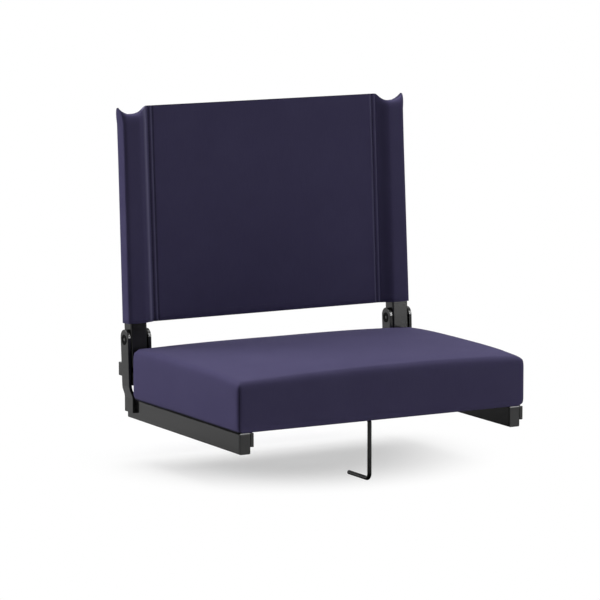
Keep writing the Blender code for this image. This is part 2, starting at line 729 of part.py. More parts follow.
def build_hook(finish, parent):
    """The bench hook: one bent wire, with a swaged head on its axle and an eased tip on its leg."""
    curve = bpy.data.curves.new("bench_hook", "CURVE")
    curve.dimensions = "3D"
    curve.bevel_depth = HOOK_RADIUS
    curve.bevel_resolution = ARC_STEPS
    curve.use_fill_caps = True
    route = hook_route()
    head = HOOK_RADIUS
    tip = HOOK_RADIUS / 2
    points = [(route[0], HOOK_HEAD_SWELL), ((HOOK_AXLE - head, 0), HOOK_HEAD_SWELL)]
    points += [((HOOK_AXLE - 1.2 * head, 0), 1.0)]
    points += [(point, 1.0) for point in route[1:-1]]
    points += [((HOOK_LEG - tip, route[-1][1]), 1.0), (route[-1], 0.6)]
    spline = curve.splines.new("POLY")
    spline.points.add(len(points) - 1)
    for point, ((y, z), radius) in zip(spline.points, points):
        point.co = (0, y, z, 1)
        point.radius = radius
    curve.materials.append(finish)
    hook = bpy.data.objects.new("bench_hook", curve)
    hook.parent = parent
    bpy.context.scene.collection.objects.link(hook)


def build_frame(chair, steel, nylon):
    """Rails with their caps, and the welded hinge plates, stop pins, crossbar and pivots."""
    for label, side in SIDES:
        middle = (side * RAIL_X, 0, 0)
        place(f"{label}_rail", build_rail(), steel, chair, middle)
        for end, y, turn in (("front", CAP_HEAD, -90), ("rear", RAIL_LENGTH - CAP_HEAD, 90)):
            cap = build_cap(RAIL_WIDTH, RAIL_HEIGHT, RAIL_CORNER, RAIL_WALL)
            spot = (side * RAIL_X, y, RAIL_HEIGHT / 2)
            plug = place(f"{label}_{end}_cap", cap, nylon, chair, spot)
            plug.rotation_euler.x = math.radians(turn)
        place(f"{label}_short_plate", build_plate(-1, False), steel, chair, middle)
        place(f"{label}_long_plate", build_plate(1, True), steel, chair, middle)
        half = EAR_FACE - SEAT_GAP
        stop = solid_round(STOP_DIAMETER / 2, -half, half, PLATE_EDGE, along_x)
        axis = Vector((side * RAIL_X, PIVOT_Y, PIVOT_Z))
        below = Matrix.Rotation(-LEAN, 3, "X") @ Vector((0, -STOP_AHEAD, -STOP_BELOW))
        place(f"{label}_stop_pin", stop, steel, chair, axis + below)
        outside = EAR_FACE + PLATE_THICKNESS
        pin = solid_round(PIVOT_PIN_DIAMETER / 2, -outside, outside, PLATE_EDGE, along_x)
        place(f"{label}_pivot_pin", pin, steel, chair, axis)
        place(f"{label}_short_bush", build_bush(-1), nylon, chair, axis)
        place(f"{label}_long_bush", build_bush(1), nylon, chair, axis)
    place("rear_crossbar", build_crossbar(), steel, chair)


def build_seat(chair, cloth, lining, plywood, zinc):
    """The upholstered seat and the screws that hold it to the rails."""
    place("seat_cushion", build_cushion(), cloth, chair)
    place("seat_board", build_board(), plywood, chair)
    place("dust_cover", build_dust_cover(), lining, chair)
    names = [f"{label}_{end}_screw" for label, _ in SIDES for end in ("front", "rear")]
    for name, (x, y) in zip(names, seat_screw_places()):
        screw = build_screw(
            SCREW_DIAMETER,
            SCREW_HEAD_DIAMETER,
            SCREW_HEAD,
            RAIL_HEIGHT - RAIL_WALL,
            BOARD_TOP_Z - SCREW_SHORT_OF_TOP,
        )
        place(name, screw, zinc, chair, (x, y, 0))


def build_hook_group(chair, steel, zinc):
    """The bench hook on its axle, and the two clips that hold it under the board."""
    axle = make_pivot("hook_axle", chair, (0, HOOK_Y, AXLE_Z))
    build_hook(steel, axle)
    for end, y in zip(("front", "rear"), CLIP_YS):
        place(f"hook_{end}_clip", build_clip(), zinc, chair, (0, y, 0))
    names = [f"clip_{end}_{label}_screw" for end in ("front", "rear") for label, _ in SIDES]
    for name, (x, y) in zip(names, clip_screw_places()):
        screw = build_screw(
            CLIP_SCREW_DIAMETER,
            CLIP_SCREW_HEAD_DIAMETER,
            CLIP_SCREW_HEAD,
            CLIP_TOP_Z - CLIP_THICKNESS,
            BOARD_TOP_Z - CLIP_SCREW_SHORT_OF_TOP,
        )
        place(name, screw, zinc, chair, (x, y, 0))


def build_back(chair, cloth, steel, nylon):
    """The folding back: uprights on their spacers, their top plugs and the fabric."""
    pivot = make_pivot("back_pivot", chair, (0, PIVOT_Y, PIVOT_Z), -LEAN)
    for label, side in SIDES:
        place(f"{label}_upright", build_upright(), steel, pivot, (side * RAIL_X, 0, 0))
        place(f"{label}_pivot_spacer", build_spacer(), steel, pivot, (side * RAIL_X, 0, 0))
        cap = build_cap(UPRIGHT_WIDTH, UPRIGHT_DEPTH, UPRIGHT_CORNER, UPRIGHT_WALL)
        top = (side * RAIL_X, 0, UPRIGHT_OVER_PIVOT - CAP_HEAD)
        plug = place(f"{label}_upright_cap", cap, nylon, pivot, top)
        plug.rotation_euler.x = math.pi
    place("back_fabric", build_back_fabric(), cloth, pivot)


def box_of_chair():
    """Lowest and highest corners of everything, in world space."""
    bpy.context.view_layer.update()
    graph = bpy.context.evaluated_depsgraph_get()
    points = []
    for obj in bpy.context.scene.objects:
        if obj.type == "EMPTY":
            continue
        shown = obj.evaluated_get(graph)
        mesh = shown.to_mesh()
        points += [shown.matrix_world @ vert.co for vert in mesh.vertices]
        shown.to_mesh_clear()
    low = Vector([min(point[i] for point in points) for i in range(3)])
    high = Vector([max(point[i] for point in points) for i in range(3)])
    return low, high


def main():
    clear_scene()
    steel = make_finish("black powder coat", (0.02, 0.02, 0.02), 0.35, 0.0)
    zinc = make_finish("dark zinc", (0.16, 0.16, 0.165), 0.4, 0.9)
    nylon = make_finish("black nylon", (0.03, 0.03, 0.031), 0.5, 0.0)
    cloth = make_finish("navy cloth", (0.052, 0.045, 0.115), 0.85, 0.0)
    lining = make_finish("black lining", (0.02, 0.02, 0.022), 0.95, 0.0)
    plywood = make_finish("plywood", (0.48, 0.33, 0.19), 0.7, 0.0)
    chair = make_pivot("chair", None, (0, 0, 0))
    build_frame(chair, steel, nylon)
    build_seat(chair, cloth, lining, plywood, zinc)
    build_hook_group(chair, steel, zinc)
    build_back(chair, cloth, steel, nylon)
    # The origin is the middle of the box's base, under the seat at the level of the hook's lowest point.
    low, high = box_of_chair()
    chair.location = (-(low.x + high.x) / 2, -(low.y + high.y) / 2, -low.z)
    bpy.context.view_layer.update()
    for name in ("back_pivot", "hook_axle"):
        print(name, [round(value, 5) for value in bpy.data.objects[name].matrix_world.translation])
    print("rails' front and underside", [round(value, 5) for value in chair.location])


main()
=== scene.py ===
# %% [markdown]
# A folding stadium chair: a thick navy cushion on two black rails, and a navy sling back on two hinged uprights. The
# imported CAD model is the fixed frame. This lesson gives each solid its finish, and puts sewn and padded cloth where
# the CAD has plain soft solids. Loading comes first, because every later piece is placed from these nodes.

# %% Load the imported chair
import math

import bmesh
import bpy
from mathutils import Matrix, Vector


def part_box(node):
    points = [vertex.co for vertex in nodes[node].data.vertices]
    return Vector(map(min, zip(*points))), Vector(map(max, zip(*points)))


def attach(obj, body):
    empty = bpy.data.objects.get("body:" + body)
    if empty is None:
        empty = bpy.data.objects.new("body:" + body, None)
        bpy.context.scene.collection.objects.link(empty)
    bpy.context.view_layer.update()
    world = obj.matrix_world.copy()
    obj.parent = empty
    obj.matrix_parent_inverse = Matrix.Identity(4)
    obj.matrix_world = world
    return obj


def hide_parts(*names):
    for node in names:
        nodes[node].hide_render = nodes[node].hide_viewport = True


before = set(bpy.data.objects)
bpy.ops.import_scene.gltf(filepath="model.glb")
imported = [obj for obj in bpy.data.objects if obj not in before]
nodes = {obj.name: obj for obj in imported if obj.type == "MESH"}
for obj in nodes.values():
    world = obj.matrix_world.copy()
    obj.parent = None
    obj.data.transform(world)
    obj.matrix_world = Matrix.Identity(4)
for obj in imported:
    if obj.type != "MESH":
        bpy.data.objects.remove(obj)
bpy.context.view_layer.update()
scene = bpy.context.scene

# %% [markdown]
# The camera stands in front of the chair and to its left, a little above it and several metres off, as for a
# catalogue picture. A long lens from far away keeps the rails nearly parallel. Its place and angles were fitted to
# the rails' ends, the hinge plates and the corners of the back, so nothing is shifted or cropped by hand. Everything
# that this lesson adds goes into the scene in the same way, by one short helper.

# %% Camera
def add_object(name, data):
    made = bpy.data.objects.new(name, data)
    scene.collection.objects.link(made)
    return made


camera = add_object("catalogue_camera", bpy.data.cameras.new("catalogue_camera"))
camera.data.lens = 230.576
camera.data.sensor_width = 36
camera.data.clip_end = 200
camera.location = (-2.43539, -4.29372, 0.95093)
camera.rotation_euler = (math.radians(90 - 8.4519), 0, math.radians(-29.2535))
scene.camera = camera
scene.view_settings.view_transform = "Standard"
print("camera:", round(camera.location.length, 2), "m away, lens", camera.data.lens)

# %% [markdown]
# Materials and the studio are both built from shader nodes. Four small helpers keep that readable: one adds a node
# and fills or links its inputs, one adds a step of arithmetic, one adds the commonest step, a product, and one mixes
# two colours by a mask. A socket given as a value is linked, and a number is typed in.

# %% Node helpers
def node(tree, kind, inputs=(), **settings):
    made = tree.nodes.new("ShaderNode" + kind)
    for name, value in settings.items():
        setattr(made, name, value)
    for key, value in dict(inputs).items():
        if isinstance(value, bpy.types.NodeSocket):
            tree.links.new(value, made.inputs[key])
        else:
            made.inputs[key].default_value = value
    return made


def sums(tree, operation, first, second=0.0, clamp=False):
    return node(tree, "Math", {0: first, 1: second}, operation=operation, use_clamp=clamp).outputs[0]


def times(tree, first, second, clamp=False):
    return sums(tree, "MULTIPLY", first, second, clamp)


def mixed(tree, mask, first, second):
    return node(tree, "Mix", {0: mask, 6: first, 7: second}, data_type="RGBA").outputs[2]


print("helpers: node, sums, times, mixed")

# %% [markdown]
# A catalogue picture has a white sweep: the paper is white to the lens and in every reflection, yet it throws little
# light back on the object. Light Path tells the two apart. Rays from the lens, and rays that bounce off gloss, see
# white; the soft light on the chair itself comes from a dim world and from the lamps.

# %% White surroundings
SOFT_LIGHT = 0.04
world = bpy.data.worlds.new("white_sweep")
scene.world = world
world.use_nodes = True
sky = world.node_tree
path = node(sky, "LightPath")
seen = sums(sky, "ADD", path.outputs["Is Camera Ray"], path.outputs["Is Glossy Ray"])
seen = sums(sky, "ADD", seen, path.outputs["Is Transmission Ray"], clamp=True)
strength = sums(sky, "ADD", times(sky, seen, 1 - SOFT_LIGHT), SOFT_LIGHT)
sky.links.new(strength, sky.nodes["Background"].inputs["Strength"])
sky.nodes["Background"].inputs["Color"].default_value = (1, 1, 1, 1)
print("world: white to lens and gloss,", SOFT_LIGHT, "as soft light")

# %% [markdown]
# The floor is a sheet of paper under the chair, at the level of the hook's lowest point. It is far wider than the
# picture, so that its edge shows neither to the lens nor in gloss. A grid of one face is enough for a flat sheet.

# %% Floor: the sheet
FLOOR_SIZE = 60


def mesh_from(name, bm):
    mesh = bpy.data.meshes.new(name)
    bm.to_mesh(mesh)
    bm.free()
    return mesh


bm = bmesh.new()
bmesh.ops.create_grid(bm, x_segments=1, y_segments=1, size=FLOOR_SIZE / 2)
paper = add_object("paper", mesh_from("paper", bm))
print("floor:", FLOOR_SIZE, "m wide")

# %% [markdown]
# The paper has to keep the chair's soft shadow and still fade to white, so to the lens it is matt paper below the
# seat, which takes shadow, and plain white round about. Light that it throws up at the chair is worked out as for
# ordinary matt paper. Gloss sees that paper near by, darker in the shade of the seat, and plain white further off.

# %% Floor: its finish
def grey(level):
    return (level, level, level, 1)


SHADOW_MIDDLE = (0.0, 0.108, 0)
SHADOW_FADE = {"From Min": 0.10, "From Max": 0.305, "To Min": 0.86, "To Max": 0.0}
SHADE_FADE = {"From Min": 0.2, "From Max": 0.42, "To Min": 1.0, "To Max": 0.0}
WHITE_FADE = {"From Min": 1.8, "From Max": 3.2}
MATT, GLOW = 0.54, 0.38
OPEN_PAPER, SHADED_PAPER = 0.55, 0.17
finish = bpy.data.materials.new("paper")
finish.use_nodes = True
tree = finish.node_tree
tree.nodes.remove(tree.nodes["Principled BSDF"])
path = node(tree, "LightPath").outputs
place = node(tree, "TexCoord").outputs["Object"]
away = node(tree, "VectorMath", {0: place, 1: SHADOW_MIDDLE}, operation="DISTANCE").outputs["Value"]
white = node(tree, "Emission", {"Color": grey(1), "Strength": 1.0})

matt = node(tree, "BsdfDiffuse", {"Color": grey(MATT)})
glow = node(tree, "Emission", {"Color": grey(1), "Strength": GLOW})
both = node(tree, "AddShader", {0: matt.outputs[0], 1: glow.outputs[0]})
below_seat = node(tree, "MapRange", {"Value": away, **SHADOW_FADE}, interpolation_type="SMOOTHSTEP").outputs[0]
to_lens = node(tree, "MixShader", {0: below_seat, 1: white.outputs[0], 2: both.outputs[0]})

near_by = node(tree, "MapRange", {"Value": away, **SHADE_FADE}).outputs[0]
in_shade = times(tree, path["Is Glossy Ray"], near_by)
thrown_up = node(tree, "BsdfDiffuse", {"Color": mixed(tree, in_shade, grey(OPEN_PAPER), grey(SHADED_PAPER))})
further = node(tree, "MapRange", {"Value": away, **WHITE_FADE}, interpolation_type="SMOOTHSTEP").outputs[0]
mirrored = times(tree, path["Is Glossy Ray"], further)
to_chair = node(tree, "MixShader", {0: mirrored, 1: thrown_up.outputs[0], 2: white.outputs[0]})

whole = node(tree, "MixShader", {0: path["Is Camera Ray"], 1: to_chair.outputs[0], 2: to_lens.outputs[0]})
tree.links.new(whole.outputs[0], tree.nodes["Material Output"].inputs["Surface"])
paper.data.materials.append(finish)
print("floor finish:", finish.name)

# %% [markdown]
# Six lamps. A large box hangs over the seat and throws the soft shadow straight down. A wall of light behind the left
# side makes the left faces the next brightest, and a dimmer one at the right picks out folds. A soft fill stands to
# the right of the lens. A studio hides lamps from a shiny surface by angle, and here Ray Visibility does it: the left
# wall and the fill make no reflections, and the tall strip makes nothing else. It puts the narrow highlights on the
# rounded ears. A low dim strip is what the right upright mirrors.

# %% Lamps
def panel(name, place, target, size, radiance, gloss=True, matt=True, roll=0.0):
    lamp = bpy.data.lights.new(name, "AREA")
    lamp.shape = "RECTANGLE"
    lamp.size, lamp.size_y = size
    lamp.energy = radiance * math.pi * size[0] * size[1]
    stand = add_object(name, lamp)
    stand.location = place
    stand.rotation_euler = (Vector(target) - Vector(place)).to_track_quat("-Z", "Y").to_euler()
    stand.rotation_euler.rotate_axis("Z", math.radians(roll))
    stand.visible_camera = False
    stand.visible_glossy = gloss
    stand.visible_diffuse = matt
    return stand


lamps = [
    panel("overhead", (0.1, 0.72, 2.3), (0.1, 0.1, 0), (2.2, 2.2), 4.5),
    panel("left_wall", (-3.2, 3.83, 1.22), (0, 0, 0.25), (2.63, 2.36), 10.2, gloss=False),
    panel("right_wall", (2.1, -1.12, 0.7), (0, 0, 0.25), (1.2, 1.2), 1.4),
    panel("front_fill", (1.2, -2.22, 1.05), (0, 0.14, 0.16), (0.6, 1.2), 2.35, gloss=False),
    panel("tall_strip", (2.44, -3.85, 1.96), (0, 0.13, 0.165), (0.45, 2.4), 42, matt=False, roll=-13.5),
    panel("low_strip", (1.95, -2.4, 0.32), (0, 0, 0.2), (0.8, 0.6), 2.6),
]
print("lamps:", [lamp.name for lamp in lamps])

# %% [markdown]
# Black steel looks black only if it has something black to mirror. So a folded black card lies on the floor in front
# of the chair and stands up at its far end, out of the lens's sight. It is two faces that share the fold, and only
# gloss sees it.

# %% Black card
LEFT_X, NEAR_RIGHT, FOLD_RIGHT = -0.9, 0.83, 1.5
NEAR_Y, FOLD_Y = -1.3, -2.5
CARD_Z, CARD_TOP = 0.003, 0.62


def card_edge(right_x, y, z):
    return [bm.verts.new((x, y, z)) for x in (LEFT_X, right_x)]


bm = bmesh.new()
near_edge = card_edge(NEAR_RIGHT, NEAR_Y, CARD_Z)
fold_edge = card_edge(FOLD_RIGHT, FOLD_Y, CARD_Z)
top_edge = card_edge(FOLD_RIGHT, FOLD_Y, CARD_TOP)
bm.faces.new([*near_edge, *reversed(fold_edge)])
bm.faces.new([*fold_edge, *reversed(top_edge)])
card = add_object("black_card", mesh_from("black_card", bm))
card.data.materials.append(bpy.data.materials.new("black_card"))
card.data.materials[0].use_nodes = True
velvet = card.data.materials[0].node_tree.nodes["Principled BSDF"]
velvet.inputs["Base Color"].default_value = grey(0.004)
velvet.inputs["Specular IOR Level"].default_value = 0.0
card.visible_camera = card.visible_diffuse = card.visible_shadow = False
print("card:", card.name, "up to", CARD_TOP, "m")

# %% [markdown]
# Effects that several finishes share are node groups with named sockets. The first is a plain weave: warp and weft
# threads pass over and under each other like a draughtboard. It works from a map in metres, so the thread pitch is a
# real size.

# %% Shared effect: plain weave
def effect(name, inputs, outputs):
    group = bpy.data.node_groups.new(name, "ShaderNodeTree")
    for label, kind, value in inputs:
        socket = group.interface.new_socket(label, in_out="INPUT", socket_type=kind)
        if value is not None:
            socket.default_value = value
    for label in outputs:
        group.interface.new_socket(label, in_out="OUTPUT", socket_type="NodeSocketFloat")
    return group, group.nodes.new("NodeGroupInput").outputs, group.nodes.new("NodeGroupOutput").inputs


weave, given, result = effect(
    "plain_weave",
    [("Map", "NodeSocketVector", None), ("Pitch", "NodeSocketFloat", 0.0007)],
    ["Height"],
)
FULLNESS, DIVE = 0.8, 0.4


def crest_of(own, other):
    return times(weave, own, sums(weave, "ADD", times(weave, other, DIVE), 1 - DIVE))


per_metre = sums(weave, "DIVIDE", math.pi, given["Pitch"])
turns = node(weave, "VectorMath", {0: given["Map"], "Scale": per_metre}, operation="SCALE").outputs[0]
along = node(weave, "SeparateXYZ", {0: turns}).outputs
warp_wave = sums(weave, "SINE", along[0])
weft_wave = sums(weave, "SINE", along[1])
warp = sums(weave, "POWER", sums(weave, "ABSOLUTE", warp_wave), FULLNESS)
weft = sums(weave, "POWER", sums(weave, "ABSOLUTE", weft_wave), FULLNESS)
on_top = sums(weave, "GREATER_THAN", times(weave, warp_wave, weft_wave), 0.0)
warp_part = times(weave, crest_of(warp, weft), on_top)
weft_part = times(weave, crest_of(weft, warp), sums(weave, "SUBTRACT", 1.0, on_top))
weave.links.new(sums(weave, "ADD", warp_part, weft_part), result["Height"])
print("effect:", weave.name)

# %% [markdown]
# The second shared effect is unevenness: soft patches of a given size, which no real finish is without. The third is
# edge rub. A coat wears first where a hand or a bench meets an edge, so the mask compares the true normal with one
# that is rounded over a small radius: they differ only near edges.

# %% Shared effects: patches and edge rub
patches, given, result = effect(
    "patches",
    [("Place", "NodeSocketVector", None), ("Size", "NodeSocketFloat", 0.02), ("Detail", "NodeSocketFloat", 2.0)],
    ["Mask"],
)
per_size = sums(patches, "DIVIDE", 1.0, given["Size"])
cloud = node(patches, "TexNoise", {"Vector": given["Place"], "Scale": per_size, "Detail": given["Detail"]})
spread = node(patches, "MapRange", {"Value": cloud.outputs[0], "From Min": 0.3, "From Max": 0.7})
patches.links.new(spread.outputs[0], result["Mask"])

edge_rub, given, result = effect(
    "edge_rub",
    [("Place", "NodeSocketVector", None), ("Radius", "NodeSocketFloat", 0.0008), ("Gain", "NodeSocketFloat", 4.0)],
    ["Mask"],
)
round_normal = node(edge_rub, "Bevel", {"Radius": given["Radius"]}, samples=4).outputs[0]
true_normal = node(edge_rub, "NewGeometry").outputs["True Normal"]
agree = node(edge_rub, "VectorMath", {0: round_normal, 1: true_normal}, operation="DOT_PRODUCT").outputs["Value"]
bare = times(edge_rub, sums(edge_rub, "SUBTRACT", 1.0, agree), given["Gain"])
scuffs = node(edge_rub, "TexNoise", {"Vector": given["Place"], "Scale": 160.0, "Detail": 3.0}).outputs[0]
edge_rub.links.new(times(edge_rub, bare, scuffs, clamp=True), result["Mask"])
print("effects:", patches.name, edge_rub.name)

# %% [markdown]
# Each finish starts the same way, so one helper makes a material and hands back its tree, its shader and the object's
# own coordinates. The first finish is the steel's powder coat: near black, satin, with the faint orange peel that the
# powder leaves when it melts, and slightly greyer where edges are rubbed. At the front ends of the long plates the
# coat is painted a lighter grey, painted light that brightens those front faces, and it is rougher there too.

# %% Finish: black powder coat
def new_finish(name):
    material = bpy.data.materials.new(name)
    material.use_nodes = True
    tree = material.node_tree
    place = node(tree, "TexCoord").outputs["Object"]
    return material, tree, tree.nodes["Principled BSDF"], place


def placed(tree, group, **inputs):
    return node(tree, "Group", inputs, node_tree=group).outputs


def paint(tree, shader, colour):
    tree.links.new(colour, shader.inputs["Base Color"])


def roughen(tree, shader, mask, spread, least):
    rough = sums(tree, "ADD", times(tree, mask, spread), least)
    tree.links.new(rough, shader.inputs["Roughness"])


def bump(tree, shader, height, distance):
    relief = node(tree, "Bump", {"Height": height, "Distance": distance})
    tree.links.new(relief.outputs[0], shader.inputs["Normal"])


black_coat, tree, shader, place = new_finish("satin_black_coat")
rub = placed(tree, edge_rub, Place=place, Radius=0.0009, Gain=3.0)["Mask"]
cloudy = placed(tree, patches, Place=place, Size=0.03, Detail=3.0)["Mask"]
peel = placed(tree, patches, Place=place, Size=0.0016, Detail=1.0)["Mask"]
coat_colour = mixed(tree, cloudy, (0.0075, 0.0075, 0.0077, 1), (0.0105, 0.0105, 0.0108, 1))
coat_colour = mixed(tree, times(tree, rub, 0.5), coat_colour, (0.05, 0.05, 0.052, 1))
# painted light: the front ends of the long plates are painted a lighter grey, and made rougher
FRONT_END_DEPTH, FRONT_END_ROUGH = 0.0006, 7.5
front_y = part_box("left_long_plate")[0].y
from_front = node(tree, "SeparateXYZ", {0: place}).outputs[1]
front_end_light = sums(tree, "LESS_THAN", from_front, front_y + FRONT_END_DEPTH)
coat_colour = mixed(tree, front_end_light, coat_colour, (0.012, 0.012, 0.0122, 1))
paint(tree, shader, coat_colour)
dull = sums(tree, "ADD", cloudy, times(tree, front_end_light, FRONT_END_ROUGH))
roughen(tree, shader, dull, 0.04, 0.13)
shader.inputs["IOR"].default_value = 1.45
bump(tree, shader, peel, 0.00002)
print("finish:", black_coat.name)

# %% [markdown]
# The hook's wire was dipped and not powder coated, so its black is duller: the same group of patches gives an uneven,
# rougher gloss, and the rub shows only at its tip.

# %% Finish: dipped wire
dipped_wire, tree, shader, place = new_finish("dipped_black_wire")
rub = placed(tree, edge_rub, Place=place, Radius=0.0006, Gain=2.0)["Mask"]
cloudy = placed(tree, patches, Place=place, Size=0.008, Detail=3.0)["Mask"]
dip_colour = mixed(tree, cloudy, (0.006, 0.006, 0.006, 1), (0.009, 0.009, 0.0092, 1))
dip_colour = mixed(tree, times(tree, rub, 0.4), dip_colour, (0.04, 0.04, 0.04, 1))
paint(tree, shader, dip_colour)
roughen(tree, shader, cloudy, 0.12, 0.26)
bump(tree, shader, cloudy, 0.00004)
print("finish:", dipped_wire.name)

# %% [markdown]
# The caps are moulded nylon: duller than the coat, with the fine spark-eroded grain of a mould. Along the top of each
# front cap a pale line is a painted highlight, where the cap's top edge catches light. A mask finds that line by its
# place: the uppermost millimetre of the front face.

# %% Finish: nylon
nylon, tree, shader, place = new_finish("moulded_black_nylon")
cloudy = placed(tree, patches, Place=place, Size=0.012, Detail=2.0)["Mask"]
grain = placed(tree, patches, Place=place, Size=0.0005, Detail=2.0)["Mask"]
rub = placed(tree, edge_rub, Place=place, Radius=0.0006, Gain=3.0)["Mask"]
nylon_colour = mixed(tree, cloudy, (0.015, 0.015, 0.0152, 1), (0.021, 0.021, 0.0215, 1))
nylon_colour = mixed(tree, times(tree, rub, 0.4), nylon_colour, (0.07, 0.07, 0.07, 1))
# painted highlight: a pale line along the top of each front cap
HIGHLIGHT_HEIGHT, HIGHLIGHT_DEPTH = 0.0012, 0.0006
cap_low, cap_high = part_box("left_front_cap")
axes = node(tree, "SeparateXYZ", {0: place}).outputs
cap_highlight = sums(tree, "GREATER_THAN", axes[2], cap_high.z - HIGHLIGHT_HEIGHT)
cap_highlight = times(tree, cap_highlight, sums(tree, "LESS_THAN", axes[1], cap_low.y + HIGHLIGHT_DEPTH))
nylon_colour = mixed(tree, times(tree, cap_highlight, 0.9), nylon_colour, (0.9, 0.9, 0.9, 1))
paint(tree, shader, nylon_colour)
roughen(tree, shader, grain, 0.12, 0.4)
shader.inputs["IOR"].default_value = 1.42
bump(tree, shader, grain, 0.00002)
print("finish:", nylon.name)

# %% [markdown]
# The bushes are the same nylon, painted darker still and with weaker reflections: painted shade, for the dark ring
# round each pin. The screws and clips are zinc plated steel, which is a metal, so its colour is in its reflections,
# and fine turning marks spread them.

# %% Finishes: nylon in painted shade, and zinc
shade_black_nylon, tree, shader, place = new_finish("oiled_black_nylon")
cloudy = placed(tree, patches, Place=place, Size=0.003, Detail=2.0)["Mask"]
# painted shade: a near-black colour for the bushes, the hinge collars and the strips over the rails
shade_black = mixed(tree, cloudy, (0.003, 0.003, 0.003, 1), (0.006, 0.006, 0.006, 1))
paint(tree, shader, shade_black)
roughen(tree, shader, cloudy, 0.1, 0.6)
shader.inputs["Specular IOR Level"].default_value = 0.05
bump(tree, shader, cloudy, 0.00002)

zinc, tree, shader, place = new_finish("dark_zinc_plate")
stretched = node(tree, "Mapping", {"Vector": place, "Scale": (1.0, 12.0, 12.0)}).outputs[0]
marks = placed(tree, patches, Place=stretched, Size=0.004, Detail=4.0)["Mask"]
cloudy = placed(tree, patches, Place=place, Size=0.004, Detail=2.0)["Mask"]
zinc_colour = mixed(tree, cloudy, (0.14, 0.14, 0.143, 1), (0.22, 0.22, 0.217, 1))
paint(tree, shader, zinc_colour)
roughen(tree, shader, marks, 0.2, 0.3)
shader.inputs["Metallic"].default_value = 1.0
bump(tree, shader, marks, 0.00002)
print("finishes:", shade_black_nylon.name, zinc.name)

# %% [markdown]
# Under the seat are two plain materials: birch plywood, with long grain along its width and darker glue lines on its
# edges, and a thin black lining of matted fibres that keeps dust out of the foam.

# %% Finishes: plywood and lining
plywood, tree, shader, place = new_finish("birch_plywood")
long_grain = node(tree, "Mapping", {"Vector": place, "Scale": (1.0, 14.0, 14.0)}).outputs[0]
figure = placed(tree, patches, Place=long_grain, Size=0.09, Detail=5.0)["Mask"]
pores = placed(tree, patches, Place=long_grain, Size=0.012, Detail=3.0)["Mask"]
wood = mixed(tree, figure, (0.40, 0.26, 0.14, 1), (0.55, 0.39, 0.23, 1))
height_z = node(tree, "SeparateXYZ", {0: place}).outputs[2]
PLY = 0.0018
plies = sums(tree, "SINE", times(tree, height_z, 2 * math.pi / PLY))
glue = sums(tree, "GREATER_THAN", plies, 0.75)
up = node(tree, "SeparateXYZ", {0: node(tree, "NewGeometry").outputs["True Normal"]}).outputs[2]
edge_only = sums(tree, "LESS_THAN", sums(tree, "ABSOLUTE", up), 0.5)
wood = mixed(tree, times(tree, glue, edge_only), wood, (0.22, 0.13, 0.07, 1))
paint(tree, shader, wood)
roughen(tree, shader, pores, 0.15, 0.6)
bump(tree, shader, pores, 0.00008)

lining, tree, shader, place = new_finish("black_lining")
fibres = placed(tree, patches, Place=place, Size=0.0011, Detail=5.0)["Mask"]
cloudy = placed(tree, patches, Place=place, Size=0.012, Detail=3.0)["Mask"]
felt = mixed(tree, fibres, (0.012, 0.012, 0.013, 1), (0.032, 0.032, 0.034, 1))
felt = mixed(tree, times(tree, cloudy, 0.35), felt, (0.04, 0.04, 0.042, 1))
paint(tree, shader, felt)
roughen(tree, shader, fibres, 0.1, 0.85)
bump(tree, shader, fibres, 0.0002)
print("finishes:", plywood.name, lining.name)

# %% [markdown]
# The cover and the back are one navy cloth, a close plain weave with a faint bluish bloom. Crests of the threads are
# a little lighter than the gaps, and wide patches vary by a few parts in a hundred. Two attributes painted on the
# pieces carry painted light: one darkens the cloth as painted shade in grooves, seams and corners, and under the
# cushion's edge, and the other lightens it as a painted highlight along folds and raised lines.

# %% Finish: navy cloth
navy_cloth, tree, shader, place = new_finish("navy_plain_weave")
cloth_map = node(tree, "UVMap", uv_map="weave").outputs[0]
threads = placed(tree, weave, Map=cloth_map, Pitch=0.0007)
wide = placed(tree, patches, Place=place, Size=0.06, Detail=3.0)["Mask"]
slub = node(tree, "Mapping", {"Vector": cloth_map, "Scale": (1.0, 0.06, 1.0)}).outputs[0]
slub = placed(tree, patches, Place=slub, Size=0.0012, Detail=2.0)["Mask"]
navy = mixed(tree, wide, (0.0712, 0.0618, 0.1395, 1), (0.0772, 0.0677, 0.1495, 1))
shaded = node(tree, "Mix", {0: 1.0, 6: navy, 7: (0.8, 0.8, 0.8, 1)}, data_type="RGBA", blend_type="MULTIPLY")
crest = sums(tree, "ADD", times(tree, threads["Height"], 0.85), times(tree, slub, 0.25))
navy = mixed(tree, crest, shaded.outputs[2], navy)
# painted shade and painted highlight, read from the two painted attributes
shade_paint = node(tree, "Attribute", attribute_name="seam").outputs["Fac"]
navy = mixed(tree, shade_paint, navy, (0.018, 0.016, 0.034, 1))
highlight_paint = node(tree, "Attribute", attribute_name="fold").outputs["Fac"]
navy = mixed(tree, highlight_paint, navy, (0.17, 0.16, 0.27, 1))
paint(tree, shader, navy)
roughen(tree, shader, crest, -0.1, 0.92)
shader.inputs["Sheen Weight"].default_value = 0.03
shader.inputs["Sheen Roughness"].default_value = 0.5
shader.inputs["Sheen Tint"].default_value = (0.75, 0.75, 1.0, 1)
shader.inputs["Specular IOR Level"].default_value = 0.08
bump(tree, shader, crest, 0.00012)
print("finish:", navy_cloth.name)

# %% [markdown]
# The rigid nodes keep their CAD shape and only change their finish. Each one already names its record slot in its
# material, so a table from slot to finish covers them all.

